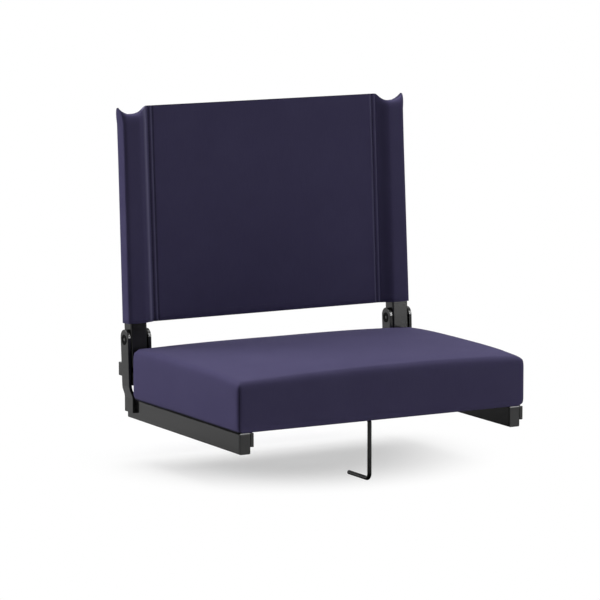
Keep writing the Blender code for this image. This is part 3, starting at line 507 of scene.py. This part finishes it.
# %% Dress the rigid nodes
FINISHES = {
    "black_coat": black_coat,
    "zinc": zinc,
    "nylon": nylon,
    "lining": lining,
    "plywood": plywood,
    "navy_cloth": navy_cloth,
}
for name, solid in nodes.items():
    for holder in solid.material_slots:
        slot = next(slot for slot in FINISHES if slot in holder.material.name)
        holder.material = FINISHES[slot]
        if "_bush" in name:
            holder.material = shade_black_nylon
        if name == "bench_hook":
            holder.material = dipped_wire
print("dressed:", {slot: finish.name for slot, finish in FINISHES.items()})

# %% [markdown]
# New pieces are meshes in the chair's own frame. One helper turns a bmesh into an object that rides on a body and
# wears a finish. Others apply modifiers, find the edges along an axis, round edges off, shade faces smoothly, and lay
# the cloth's map: each face is seen along the axis that it faces most, and its map is its place in metres, so threads
# run straight up every side.

# %% Helpers for new pieces
def new_piece(name, bm, body, slot):
    piece = add_object(name, mesh_from(name, bm))
    piece.data.materials.append(FINISHES[slot])
    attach(piece, body)
    return piece


def apply_modifiers(piece):
    graph = bpy.context.evaluated_depsgraph_get()
    finished = bpy.data.meshes.new_from_object(piece.evaluated_get(graph))
    piece.modifiers.clear()
    piece.data = finished


def edges_along(bm, axis, least):
    return [e for e in bm.edges if abs(e.verts[0].co[axis] - e.verts[1].co[axis]) > least]


def round_off(bm, geom, radius, segments, affect="EDGES"):
    bmesh.ops.bevel(bm, geom=geom, offset=radius, segments=segments, profile=0.5, affect=affect, material=-1)


def shade_smooth(bm):
    for face in bm.faces:
        face.smooth = True


def lay_cloth_map(bm):
    layer = bm.loops.layers.uv.get("weave") or bm.loops.layers.uv.new("weave")
    for face in bm.faces:
        facing = [abs(part) for part in face.normal]
        across, along = {0: (1, 2), 1: (0, 2), 2: (0, 1)}[facing.index(max(facing))]
        for loop in face.loops:
            loop[layer].uv = (loop.vert.co[across], loop.vert.co[along])


print("helpers: new_piece, apply_modifiers, edges_along, round_off, shade_smooth, lay_cloth_map")

# %% [markdown]
# The seat cushion is a block of foam in a sewn box cover. A block with rounded edges is the right start, but real
# foam pushes its cover outwards, so the block starts a little small and a cloth simulation inflates it. Voxel
# remeshing gives the simulation even cells.

# %% Cushion: the block before it is filled
pad_low, pad_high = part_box("seat_cushion")
EDGE_TOP = pad_low.z + 0.0650
CROWN = 0.0103
START_SMALL, SIDE_ROOM, FRONT_ROOM = 0.0015, 0.0008, 0.0003
STANDING_ROUND, RIM_ROUND, FOOT_ROUND = 0.003, 0.0088, 0.005
CELL = 0.0045
middle = (pad_low + pad_high) / 2
half_width = (pad_high.x - pad_low.x) / 2 - SIDE_ROOM
half_depth = (pad_high.y - pad_low.y) / 2 - FRONT_ROOM

bm = bmesh.new()
bmesh.ops.create_cube(bm, size=1)
start_height = EDGE_TOP - START_SMALL - pad_low.z
block = (2 * (half_width - START_SMALL), 2 * (half_depth - START_SMALL), start_height)
bmesh.ops.scale(bm, vec=block, verts=bm.verts)
bmesh.ops.translate(bm, vec=(middle.x, middle.y, pad_low.z + start_height / 2), verts=bm.verts)
standing = edges_along(bm, 2, 0.01)
round_off(bm, standing, STANDING_ROUND, 3)
top_z = max(v.co.z for v in bm.verts)
rim = [e for e in bm.edges if all(v.co.z > top_z - 1e-5 for v in e.verts)]
round_off(bm, rim, RIM_ROUND, 5)
foot = [e for e in bm.edges if all(v.co.z < pad_low.z + 1e-5 for v in e.verts)]
round_off(bm, foot, FOOT_ROUND, 3)
cushion = new_piece("filled_cushion", bm, "frame", "navy_cloth")
remesh = cushion.modifiers.new("even_cells", "REMESH")
remesh.mode = "VOXEL"
remesh.voxel_size = CELL
apply_modifiers(cushion)
print("cushion block:", [round(1000 * s, 1) for s in block], "mm,", len(cushion.data.vertices), "points")

# %% [markdown]
# Foam for a seat is cut higher in the middle, so the block's top is crowned first. Hand-filled covers are never quite
# even, and here the rear left corner is the fullest. The crown is one function of a point's place, and it takes hold
# only in the upper half of the block.

# %% Cushion: crown it
EDGE_RISE, SIDE_RISE, FRONT_RISE = 0.0053, 0.0048, 0.0003
STEEP, LEFT_EASE = 3, 1.4
FULL_CORNER, FULL_TIP = 0.0014, 0.0018


def crown_at(x, y):
    across = (x - middle.x) / half_width
    ahead = (middle.y - y) / half_depth
    steep = STEEP if across > 0 else STEEP - LEFT_EASE * max(ahead, 0)
    over_x = max(1 - abs(across) ** steep, 0)
    over_y = max(1 - abs(ahead) ** STEEP, 0)
    edge = EDGE_RISE + FRONT_RISE * ahead
    rear_left = max(-across, 0) * max(-ahead, 0)
    fuller = FULL_CORNER * rear_left + FULL_TIP * rear_left**4
    return CROWN * over_x * over_y + edge * over_x * (1 - over_y) + SIDE_RISE * over_y * (1 - over_x) + fuller


for vertex in cushion.data.vertices:
    rise = (vertex.co.z - pad_low.z) / (EDGE_TOP - pad_low.z)
    vertex.co.z += crown_at(vertex.co.x, vertex.co.y) * min(max(2 * rise - 1, 0), 1)
cushion.data.update()
print("crown:", round(1000 * crown_at(middle.x, middle.y), 1), "mm in the middle")

# %% [markdown]
# Then comes the filling. The underside is held, because it is stapled to the board, and pressure pushes the rest out.
# Each point's travel is limited, more on top than at the sides, so that the cushion doesn't turn into a balloon, and
# nothing passes the CAD solid's space.

# %% Cushion: fill it
TOP_TRAVEL = 0.0050
SIDE_TRAVEL = 0.0016
HELD_HEIGHT = 0.003
STEPS = 20
TAKEN = 0.25
start = [v.co.copy() for v in cushion.data.vertices]
facing_up = [v.normal.z for v in cushion.data.vertices]
held = cushion.vertex_groups.new(name="held")
held.add([v.index for v in cushion.data.vertices if v.co.z < pad_low.z + HELD_HEIGHT], 1.0, "REPLACE")
filling = cushion.modifiers.new("filling", "CLOTH")
cover = filling.settings
cover.quality = 5
cover.tension_stiffness = cover.compression_stiffness = 60
cover.shear_stiffness = 20
cover.bending_stiffness = 5
cover.use_pressure = True
cover.uniform_pressure_force = 1.0
cover.effector_weights.gravity = 0
cover.vertex_group_mass = "held"
filling.point_cache.frame_start = 1
filling.point_cache.frame_end = STEPS
for step in range(1, STEPS + 1):
    scene.frame_set(step)
graph = bpy.context.evaluated_depsgraph_get()
swollen = [v.co.copy() for v in cushion.evaluated_get(graph).data.vertices]
cushion.modifiers.clear()
cushion.vertex_groups.clear()
scene.frame_set(1)
travels = []
for vertex, before, after, up in zip(cushion.data.vertices, start, swollen, facing_up):
    travel = (after - before) * TAKEN
    travel.z = max(travel.z, 0)
    most = SIDE_TRAVEL + (TOP_TRAVEL - SIDE_TRAVEL) * max(up, 0) ** 2
    travels.append(travel.length)
    if travel.length > 1e-7:
        travel *= most * math.tanh(travel.length / most) / travel.length
    vertex.co = before + travel
print("filling moved points by up to", round(1000 * max(travels), 1), "mm before its limit")

# %% [markdown]
# One subdivision smooths the cells, and draws the form in by a fraction of a millimetre, so the cushion is measured
# and brought back to its size, a trace wider at the rear, where the cover's last seam is.

# %% Cushion: smooth it and size it
WIDER_REAR = 0.0018
smooth = cushion.modifiers.new("smooth", "SUBSURF")
smooth.levels = 1
smooth.render_levels = 1
apply_modifiers(cushion)
bm = bmesh.new()
bm.from_mesh(cushion.data)
reach_x = max(abs(v.co.x - middle.x) for v in bm.verts)
reach_y = max(abs(v.co.y - middle.y) for v in bm.verts)
reach_z = max(v.co.z for v in bm.verts) - pad_low.z
low_z = min(v.co.z for v in bm.verts)
full_height = EDGE_TOP + CROWN - pad_low.z
wanted = Vector((half_width / reach_x, half_depth / reach_y, full_height / (pad_low.z + reach_z - low_z)))
bmesh.ops.translate(bm, vec=(-middle.x, -middle.y, -low_z), verts=bm.verts)
bmesh.ops.scale(bm, vec=wanted, verts=bm.verts)
bmesh.ops.translate(bm, vec=(middle.x, middle.y, pad_low.z), verts=bm.verts)
for vert in bm.verts:
    rearward = min(max((vert.co.y - middle.y) / half_depth, 0), 1)
    vert.co.x += WIDER_REAR * rearward**2 * (vert.co.x - middle.x) / half_width
bm.to_mesh(cushion.data)
bm.free()
print("cushion brought to size by", [round(w, 4) for w in wanted])

# %% [markdown]
# The underside gets its recess for the board, with the same small gap that the solids keep. It is cut by a Boolean
# with a rounded block, because the recess has sharp walls and the cloth has not.

# %% Cushion: cut the board's recess
GAP, BOARD_CORNER, CUT_BELOW = 0.0003, 0.008, 0.01
board_low, board_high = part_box("seat_board")
bm = bmesh.new()
bmesh.ops.create_cube(bm, size=1)
reach = board_high - board_low + Vector((2 * GAP, 2 * GAP, 0))
reach.z = board_high.z + GAP - (pad_low.z - CUT_BELOW)
bmesh.ops.scale(bm, vec=reach, verts=bm.verts)
centre = (board_low + board_high) / 2
centre.z = board_high.z + GAP - reach.z / 2
bmesh.ops.translate(bm, vec=centre, verts=bm.verts)
standing = edges_along(bm, 2, 0.005)
round_off(bm, standing, BOARD_CORNER, 4)
cutter = add_object("recess", mesh_from("recess", bm))
recess = cushion.modifiers.new("recess", "BOOLEAN")
recess.operation = "DIFFERENCE"
recess.solver = "EXACT"
recess.object = cutter
apply_modifiers(cushion)
bpy.data.objects.remove(cutter)
print("cushion:", len(cushion.data.polygons), "faces")

# %% [markdown]
# A box cover is sewn up at its four standing corners. Each seam pulls a narrow groove into the foam, deepest near the
# base and gone at the soft top edge. The mesh there is cut finely along the corner's diagonal plane, so that the
# groove is real shape, and its bottom gets painted shade, darkest where it is deepest. So does the narrow strip at
# the foot of both sides, where the cover is tucked under the board: painted shade for the dark line over each rail.

# %% Cushion: corner seams
CORNER_REACH = 0.016
CUTS = (0.0, 0.0003, -0.0003, 0.0007, -0.0007, 0.0013, -0.0013)
GROOVE, GROOVE_HALF, GROOVE_SHADE = 0.0010, 0.0014, 0.6
FADE_BELOW, FADE_RUN = 0.002, 0.010
TUCK, TUCK_EDGE, TUCK_FRONT, TUCK_SIDE = 0.0026, 0.0006, 0.005, 0.008
bm = bmesh.new()
bm.from_mesh(cushion.data)
bmesh.ops.remove_doubles(bm, verts=bm.verts, dist=1e-6)
seam = bm.verts.layers.float.new("seam")
for side_x in (-1, 1):
    for side_y in (-1, 1):
        corner = Vector((middle.x + side_x * half_width, middle.y + side_y * half_depth, 0))
        outward = Vector((side_x, side_y, 0)).normalized()
        across = Vector((-outward.y, outward.x, 0))

        def near(vert):
            flat = Vector((vert.co.x, vert.co.y, 0)) - corner
            return flat.length < CORNER_REACH and vert.co.z < EDGE_TOP

        for offset in CUTS:
            faces = [f for f in bm.faces if all(near(v) for v in f.verts)]
            edges = list({e for f in faces for e in f.edges})
            verts = list({v for f in faces for v in f.verts})
            where = corner + across * offset
            bmesh.ops.bisect_plane(bm, geom=faces + edges + verts, dist=1e-6, plane_co=where, plane_no=across)
        for vert in bm.verts:
            if near(vert):
                off = abs((vert.co - corner).dot(across))
                if off < GROOVE_HALF and vert.co.z > pad_low.z - 1e-6:
                    fade = min(max((EDGE_TOP - FADE_BELOW - vert.co.z) / FADE_RUN, 0), 1)
                    depth = (1 - (off / GROOVE_HALF) ** 2) ** 2 * fade
                    vert.co -= outward * GROOVE * depth
                    # painted shade in the groove
                    vert[seam] = GROOVE_SHADE * depth
for height in (TUCK, TUCK + TUCK_EDGE):
    where = (0, 0, pad_low.z + height)
    everything = bm.verts[:] + bm.edges[:] + bm.faces[:]
    bmesh.ops.bisect_plane(bm, geom=everything, dist=1e-6, plane_co=where, plane_no=(0, 0, 1))
for vert in bm.verts:
    tucked = vert.co.z < pad_low.z + TUCK + 1e-5 and vert.co.y > pad_low.y + TUCK_FRONT
    if tucked and abs(vert.co.x - middle.x) > half_width - TUCK_SIDE:
        # painted shade along the foot of each side
        vert[seam] = 1.0
bm.normal_update()
lay_cloth_map(bm)
shade_smooth(bm)
bm.to_mesh(cushion.data)
bm.free()
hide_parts("seat_cushion")
print("cushion with seams:", len(cushion.data.polygons), "faces")

# %% [markdown]
# The back is one tube of cloth. Two seams divide it into a flat double panel and a sleeve round each upright, and
# over the uprights the sleeves are pressed flat and sewn shut. In plan that is a closed outline of a few corners, so
# the outline is drawn, its corners are rounded, it is pulled up to the full height, and the top is then pressed
# together.

# %% Back: the outline in plan
LEAN = math.radians(3.35)
pin_low, pin_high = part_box("left_pivot_pin")
post_low, post_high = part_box("left_upright")
pivot = (pin_low + pin_high) / 2
pivot.x = 0
EASE, BESIDE_SLEEVE, SLOPE = 0.0013, 0.0133, 0.0162
AHEAD, THIN = 0.0115, 0.0012
POST_X = -(post_low.x + post_high.x) / 2
ACROSS = (post_high.x - post_low.x) / 2 + EASE
SEAM_X = POST_X - ACROSS - BESIDE_SLEEVE
INNER_X = SEAM_X + SLOPE
OUTER_X = POST_X + ACROSS
OUTER_ROUND, INNER_ROUND = 0.0036, 0.0020
BOTTOM, PINCH, TOP = 0.0211, 0.2818, 0.3036

bm = bmesh.new()
half = [(SEAM_X, -THIN), (INNER_X, -AHEAD), (OUTER_X, -AHEAD), (OUTER_X, AHEAD), (INNER_X, AHEAD), (SEAM_X, THIN)]
plan = half + [(-x, y) for x, y in reversed(half)]
bm.faces.new([bm.verts.new((x, y, BOTTOM)) for x, y in plan])
outer = [v for v in bm.verts if abs(v.co.x) > POST_X]
round_off(bm, outer, OUTER_ROUND, 6, "VERTICES")
inner = [v for v in bm.verts if SEAM_X + 0.001 < abs(v.co.x) < POST_X]
round_off(bm, inner, INNER_ROUND, 4, "VERTICES")
bmesh.ops.delete(bm, geom=bm.faces[:], context="FACES_ONLY")
print("outline:", len(bm.verts), "corners,", round(sum(e.calc_length() for e in bm.edges), 4), "m round")

# %% [markdown]
# Beside each sleeve the folded edges of the cloth lie under the stitching as raised lines with grooves between them,
# on the two sides not quite alike. Each line has a place, a width and a lift: a lift above nought raises the cloth
# and paints a highlight on it, one below nought sinks it and paints shade into it. The last line of each side is
# mostly painted shade, on the left sleeve's front corner and on the right sleeve's slope. They need closely spaced
# columns, so the outline is cut there, and its long runs are divided more coarsely. Then the outline is pulled up and
# divided into rows.

# %% Back: columns and rows
LEFT_LINES = [
    (0.1640, 0.0010, -0.7),
    (0.1668, 0.0008, 0.6),
    (0.1702, 0.0012, -0.75),
    (0.1772, 0.0026, 0.9),
    (0.2086, 0.0020, -0.35),
]
RIGHT_LINES = [(0.1644, 0.0010, 0.55), (0.1672, 0.0009, -0.75), (0.1708, 0.0008, 0.6), (0.1800, 0.0062, -0.3)]
FINE_COLUMNS = [0.1616 + 0.0004 * step for step in range(45)] + [0.2050 + 0.0007 * step for step in range(8)]
COLUMN = 0.004
for side in (-1, 1):
    for x in FINE_COLUMNS:
        where = (side * x, 0, 0)
        bmesh.ops.bisect_plane(bm, geom=bm.verts[:] + bm.edges[:], dist=1e-6, plane_co=where, plane_no=(1, 0, 0))
for edge in list(bm.edges):
    cuts = math.ceil(edge.calc_length() / COLUMN) - 1
    if cuts > 0:
        bmesh.ops.subdivide_edges(bm, edges=[edge], cuts=cuts)
pulled = bmesh.ops.extrude_edge_only(bm, edges=bm.edges[:])
bmesh.ops.translate(bm, vec=(0, 0, 1), verts=[g for g in pulled["geom"] if isinstance(g, bmesh.types.BMVert)])
ROWS = 84
tall = edges_along(bm, 2, 0.5)
bmesh.ops.subdivide_edges(bm, edges=tall, cuts=ROWS - 1, use_grid_fill=True)
print("back cloth:", len(bm.faces), "faces")

# %% [markdown]
# Up to the top of the uprights the tube keeps its outline, a little looser towards the bottom. Above them it is
# pressed flat: the depth closes like a quarter circle, the pressed sleeve spreads outwards a little, and its top edge
# dips in the middle, where the cloth has the longest way over the upright. All of that is one function of a point in
# the straight tube, because the stitches have to find the same surface later.

# %% Back: press the top together
FULL_ROWS = 0.5
DIP, FLARE, CORNER_DIP = 0.0098, 0.0028, 0.12
LOOSE, LOOSE_FADE = 0.0013, 1.25
RELIEF, TOP_EDGE_SHADE, HEM_SHARE = 0.0010, 0.8, 0.985


def dip_at(x):
    off = abs(x) - POST_X
    if off > 0:
        return 1 - (1 - CORNER_DIP) * (off / ACROSS) ** 2
    inward = min(-off / (POST_X - SEAM_X), 1)
    return math.cos(inward**2 * math.pi / 2) ** 2


def bells_at(x):
    lines = RIGHT_LINES if x > 0 else LEFT_LINES
    return [lift * math.exp(-(((abs(x) - line) / width) ** 2)) for line, width, lift in lines]


def pressed_share(rise):
    return math.sin(math.pi / 2 * max(rise - FULL_ROWS, 0) / (1 - FULL_ROWS))


def pressed(x, y, rise):
    share = pressed_share(rise)
    height = BOTTOM + (PINCH - BOTTOM) * min(rise / FULL_ROWS, 1) + (TOP - PINCH) * share
    depth = THIN + (abs(y) - THIN) * math.sqrt(1 - share * share) + RELIEF * sum(bells_at(x))
    outer_part = max(abs(x) - POST_X, 0) / ACROSS
    spread = outer_part * (FLARE * share + LOOSE * max(1 - LOOSE_FADE * rise / FULL_ROWS, 0))
    return Vector((x + math.copysign(spread, x), math.copysign(depth, y), height - DIP * dip_at(x) * share * share))


seam = bm.verts.layers.float.new("seam")
fold = bm.verts.layers.float.new("fold")
for vert in bm.verts:
    x, y, rise = vert.co.x, vert.co.y, vert.co.z - BOTTOM
    # painted highlight from the raised lines; painted shade from the sunk lines and along the pressed top edge
    vert[fold] = max([0, *bells_at(x)])
    vert[seam] = TOP_EDGE_SHADE if pressed_share(rise) > HEM_SHARE else max(0, -min(bells_at(x)))
    vert.co = pressed(x, y, rise)
bmesh.ops.remove_doubles(bm, verts=bm.verts, dist=1e-5)
print("back cloth pressed:", len(bm.verts), "points")

# %% [markdown]
# The panel is closed along its lower hem and the whole tube along its top, each by a bridge between the front and the
# back edge. The cloth then gets its real thickness on the inside, its map, and its lean.

# %% Back: hems, thickness and place
CLOTH_WALL = 0.0009


def open_edges(test):
    return [e for e in bm.edges if e.is_boundary and all(test(v.co) for v in e.verts)]


lower = open_edges(lambda p: p.z < BOTTOM + 1e-4 and abs(p.x) < SEAM_X + 1e-4)
bmesh.ops.bridge_loops(bm, edges=lower)
upper = [e for e in open_edges(lambda p: p.z > PINCH) if e.verts[0].co.y * e.verts[1].co.y > 0]
bmesh.ops.bridge_loops(bm, edges=upper)
bmesh.ops.recalc_face_normals(bm, faces=bm.faces)
if sum(f.normal.y for f in bm.faces if f.calc_center_median().y < -0.001) > 0:
    bmesh.ops.reverse_faces(bm, faces=bm.faces)
lay_cloth_map(bm)
shade_smooth(bm)
LEANING = Matrix.Translation(pivot) @ Matrix.Rotation(-LEAN, 4, "X")
bmesh.ops.transform(bm, matrix=LEANING, verts=bm.verts)
back_cloth = new_piece("sling_back", bm, "back", "navy_cloth")
wall = back_cloth.modifiers.new("cloth_wall", "SOLIDIFY")
wall.thickness = CLOTH_WALL
wall.offset = -1
apply_modifiers(back_cloth)
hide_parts("back_fabric")

# %% [markdown]
# Rows of lockstitch hold the back together: beside each sleeve, along the lower hem, and where the sleeves are sewn
# shut. A stitch is a short lens of thread that sinks into the cloth at both ends, so a stretched ball of few faces is
# enough, because there are hundreds. The thread has its own finish, with the slant of its twist.

# %% Finish: thread
thread, tree, shader, place = new_finish("twisted_navy_thread")
TWIST = (5200, 5200, 5200)
slanted = node(tree, "VectorMath", {0: place, 1: TWIST}, operation="DOT_PRODUCT").outputs["Value"]
strand = sums(tree, "ABSOLUTE", sums(tree, "SINE", slanted))
fuzz = placed(tree, patches, Place=place, Size=0.0015, Detail=2.0)["Mask"]
thread_colour = mixed(tree, strand, (0.040, 0.036, 0.080, 1), (0.074, 0.066, 0.142, 1))
thread_colour = mixed(tree, times(tree, fuzz, 0.3), thread_colour, (0.09, 0.083, 0.165, 1))
paint(tree, shader, thread_colour)
roughen(tree, shader, strand, -0.15, 0.75)
shader.inputs["Specular IOR Level"].default_value = 0.15
bump(tree, shader, strand, 0.00004)
print("finish:", thread.name)

# %% [markdown]
# To lie on the cloth, a stitch asks the pressing function for the surface at its place. Each row is sewn into a small
# bmesh of its own and then joined to the others, which is much quicker than adding to one that grows.

# %% Back: stitches
STITCH, PITCH, THREAD, RAISED = 0.0030, 0.0037, 0.00027, 0.4
BALL_AROUND, BALL_ALONG = 6, 5
SEAM_ROWS = (-0.1640, -0.1702, 0.1672, 0.1740)
HEM_ROW, SHUT_ROW = BOTTOM + 0.010, TOP - 0.0030
FOOT_END, HEAD_END, SIDE_END = 0.002, 0.0015, 0.004


def outline_depth(x):
    slope = min(max((abs(x) - SEAM_X) / (INNER_X - SEAM_X), 0), 1)
    return THIN + (AHEAD - THIN) * slope


def rise_at(height):
    if height <= PINCH:
        return FULL_ROWS * (height - BOTTOM) / (PINCH - BOTTOM)
    return FULL_ROWS + (1 - FULL_ROWS) * 2 / math.pi * math.asin((height - PINCH) / (TOP - PINCH))


def on_cloth(x, height, side):
    return pressed(x, side * outline_depth(x), rise_at(height)) + Vector((0, side * RAISED * THREAD, 0))


def sew(cloth, points):
    row = bmesh.new()
    for start, end in zip(points, points[1:]):
        turned = (end - start).to_track_quat("Z", "Y").to_matrix().to_4x4()
        sized = Matrix.Diagonal((THREAD, THREAD, STITCH / 2, 1))
        where = Matrix.Translation((start + end) / 2) @ turned @ sized
        ball = {"u_segments": BALL_AROUND, "v_segments": BALL_ALONG, "radius": 1}
        bmesh.ops.create_uvsphere(row, matrix=LEANING @ where, **ball)
    sewn = mesh_from("row", row)
    cloth.from_mesh(sewn)
    bpy.data.meshes.remove(sewn)


def steps(start, end):
    count = round(abs(end - start) / PITCH)
    return [start + (end - start) * index / count for index in range(count + 1)]


bm = bmesh.new()
for side in (-1, 1):
    for x in SEAM_ROWS:
        sew(bm, [on_cloth(x, height, side) for height in steps(BOTTOM + FOOT_END, TOP - HEAD_END)])
    sew(bm, [on_cloth(x, HEM_ROW, side) for x in steps(SIDE_END - OUTER_X, OUTER_X - SIDE_END)])
    for end in (-1, 1):
        run = steps(end * (SEAM_X + SIDE_END), end * (OUTER_X - HEAD_END))
        sew(bm, [on_cloth(x, SHUT_ROW, side) for x in run])
shade_smooth(bm)
stitches = new_piece("back_stitches", bm, "back", "navy_cloth")
stitches.data.materials[0] = thread
print("stitches:", len(stitches.data.polygons) // (BALL_AROUND * BALL_ALONG))

# %% [markdown]
# Round each pivot pin a black collar covers the bush on the outside of the ear and keeps its grease in. It is turned:
# half a cross-section, spun once round the pin.

# %% Hinge collars
COLLAR = [(0.0, 0.0032), (0.0004, 0.0032), (0.0006, 0.0035), (0.0006, 0.0063), (0.0004, 0.0067), (0.0, 0.0069)]
COLLAR_STEPS = 28
bm = bmesh.new()
for name in ("left_pivot_pin", "right_pivot_pin"):
    pin_low, pin_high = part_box(name)
    for face_x, outward in ((pin_low.x, -1), (pin_high.x, 1)):
        ring = [bm.verts.new((face_x + outward * out, pivot.y, pivot.z + radius)) for out, radius in COLLAR]
        edges = [bm.edges.new((a, b)) for a, b in zip(ring, ring[1:] + ring[:1])]
        centre = (face_x, pivot.y, pivot.z)
        turn = {"axis": (1, 0, 0), "dvec": (0, 0, 0), "angle": 2 * math.pi, "steps": COLLAR_STEPS, "use_merge": True}
        bmesh.ops.spin(bm, geom=ring + edges, cent=centre, **turn)
bmesh.ops.remove_doubles(bm, verts=bm.verts, dist=1e-6)
bmesh.ops.recalc_face_normals(bm, faces=bm.faces)
collars = new_piece("hinge_collars", bm, "frame", "nylon")
# painted shade: the collars wear the near-black finish, for the dark ring round each pin
collars.data.materials[0] = shade_black_nylon
print("collars:", len(collars.data.polygons), "faces")

# %% [markdown]
# Between the cushion and each rail runs a thin black strip, a dark piece that stands in for shade: it shows as the
# dark line over the rail, where the cushion's edge shades it. A long box is the right start; its edges are rounded and
# it is divided along its length, so that it can follow the hand-fitted cover up and down by a fraction of a
# millimetre.

# %% Strips of painted shade
STRIP_LOW, STRIP_HIGH, STRIP_WALL = 0.0836, 0.0869, 0.0008
FRONT_SHORT, REAR_SHORT = 0.0085, 0.006
STRIP_ROUND, STRIP_CUTS = 0.0002, 30
WAVES = ((0.00015, 61, 0), (0.0001, 173, 1))
bm = bmesh.new()
for end in (-1, 1):
    rail_low, rail_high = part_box("left_rail" if end < 0 else "right_rail")
    inner = (rail_low.x if end < 0 else rail_high.x) + end * GAP
    run = (pad_low.y + FRONT_SHORT, pad_high.y - REAR_SHORT)
    made = bmesh.ops.create_cube(bm, size=1)["verts"]
    bmesh.ops.scale(bm, vec=(STRIP_WALL, run[1] - run[0], STRIP_HIGH - STRIP_LOW), verts=made)
    centre = (inner + end * STRIP_WALL / 2, (run[0] + run[1]) / 2, (STRIP_LOW + STRIP_HIGH) / 2)
    bmesh.ops.translate(bm, vec=centre, verts=made)
round_off(bm, bm.edges[:], STRIP_ROUND, 2)
lengths = edges_along(bm, 1, 0.1)
bmesh.ops.subdivide_edges(bm, edges=lengths, cuts=STRIP_CUTS, use_grid_fill=True)
for vert in bm.verts:
    vert.co.z += sum(lift * math.sin(rate * vert.co.y + shift) for lift, rate, shift in WAVES)
# painted shade: a near-black strip over each rail
shade_strips = new_piece("tacking_strips", bm, "frame", "nylon")
shade_strips.data.materials[0] = shade_black_nylon
print("painted shade strips:", len(shade_strips.data.polygons), "faces")

# %% [markdown]
# Underneath, the lining is held by staples, one every few centimetres, a little crooked as a staple gun leaves them.
# Only the crown of each shows, so each is one short flat box with its edges rounded, sunk a little into the lining.

# %% Staples under the seat
cover_low, cover_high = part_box("dust_cover")
CROWN_LENGTH, WIRE, FLAT, WIRE_ROUND = 0.0105, 0.0009, 0.0006, 0.0002
FROM_EDGE, SIDE_X = 0.006, 0.184
FIRST_X, STEP_X = -0.168, 0.048
FIRST_Y, STEP_Y = 0.036, 0.046
PROUD, CROOKED = 0.0001, 7
spots = []
for column in range(8):
    x = FIRST_X + STEP_X * column
    spots += [(x, cover_low.y + FROM_EDGE, 0), (x, cover_high.y - FROM_EDGE, 0)]
for row in range(5):
    y = cover_low.y + FIRST_Y + STEP_Y * row
    spots += [(-SIDE_X, y, 90), (SIDE_X, y, 90)]
bm = bmesh.new()
for index, (x, y, turn) in enumerate(spots):
    crooked = math.radians(turn + CROOKED * math.sin(2.4 * index))
    where = Matrix.Translation((x, y, cover_low.z - PROUD)) @ Matrix.Rotation(crooked, 4, "Z")
    where = where @ Matrix.Diagonal((CROWN_LENGTH, WIRE, FLAT, 1))
    bmesh.ops.create_cube(bm, size=1, matrix=where)
round_off(bm, bm.edges[:], WIRE_ROUND, 2)
shade_smooth(bm)
staples = new_piece("lining_staples", bm, "frame", "zinc")
print("staples:", len(spots), "in", staples.name)

# %% [markdown]
# The crossbar is welded between the two inner hinge plates and coated with them. A weld bead is a row of frozen
# puddles, each overlapping the last, so it is laid as a chain of uneven balls along the top, the front and the bottom
# of the bar's two ends.

# %% Weld beads
bar_low, bar_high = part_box("rear_crossbar")
BEAD, OVERLAP, UNEVEN, REAR_OPEN = 0.0016, 0.85, 0.1, 0.0015
rear_y = bar_high.y - REAR_OPEN
weld_path = ((rear_y, bar_high.z), (bar_low.y, bar_high.z), (bar_low.y, bar_low.z), (rear_y, bar_low.z))
bm = bmesh.new()
for end_x in (bar_low.x, bar_high.x):
    corners = [Vector((end_x, y, z)) for y, z in weld_path]
    for start, end in zip(corners, corners[1:]):
        count = round((end - start).length / (OVERLAP * BEAD))
        for index in range(count + 1):
            uneven = 1 + UNEVEN * math.sin(5.1 * index + 40 * start.z)
            where = Matrix.Translation(start.lerp(end, index / count)) @ Matrix.Scale(BEAD * uneven, 4)
            bmesh.ops.create_icosphere(bm, subdivisions=2, radius=1, matrix=where)
shade_smooth(bm)
beads = new_piece("crossbar_welds", bm, "frame", "black_coat")
print("weld beads:", len(beads.data.polygons), "faces")
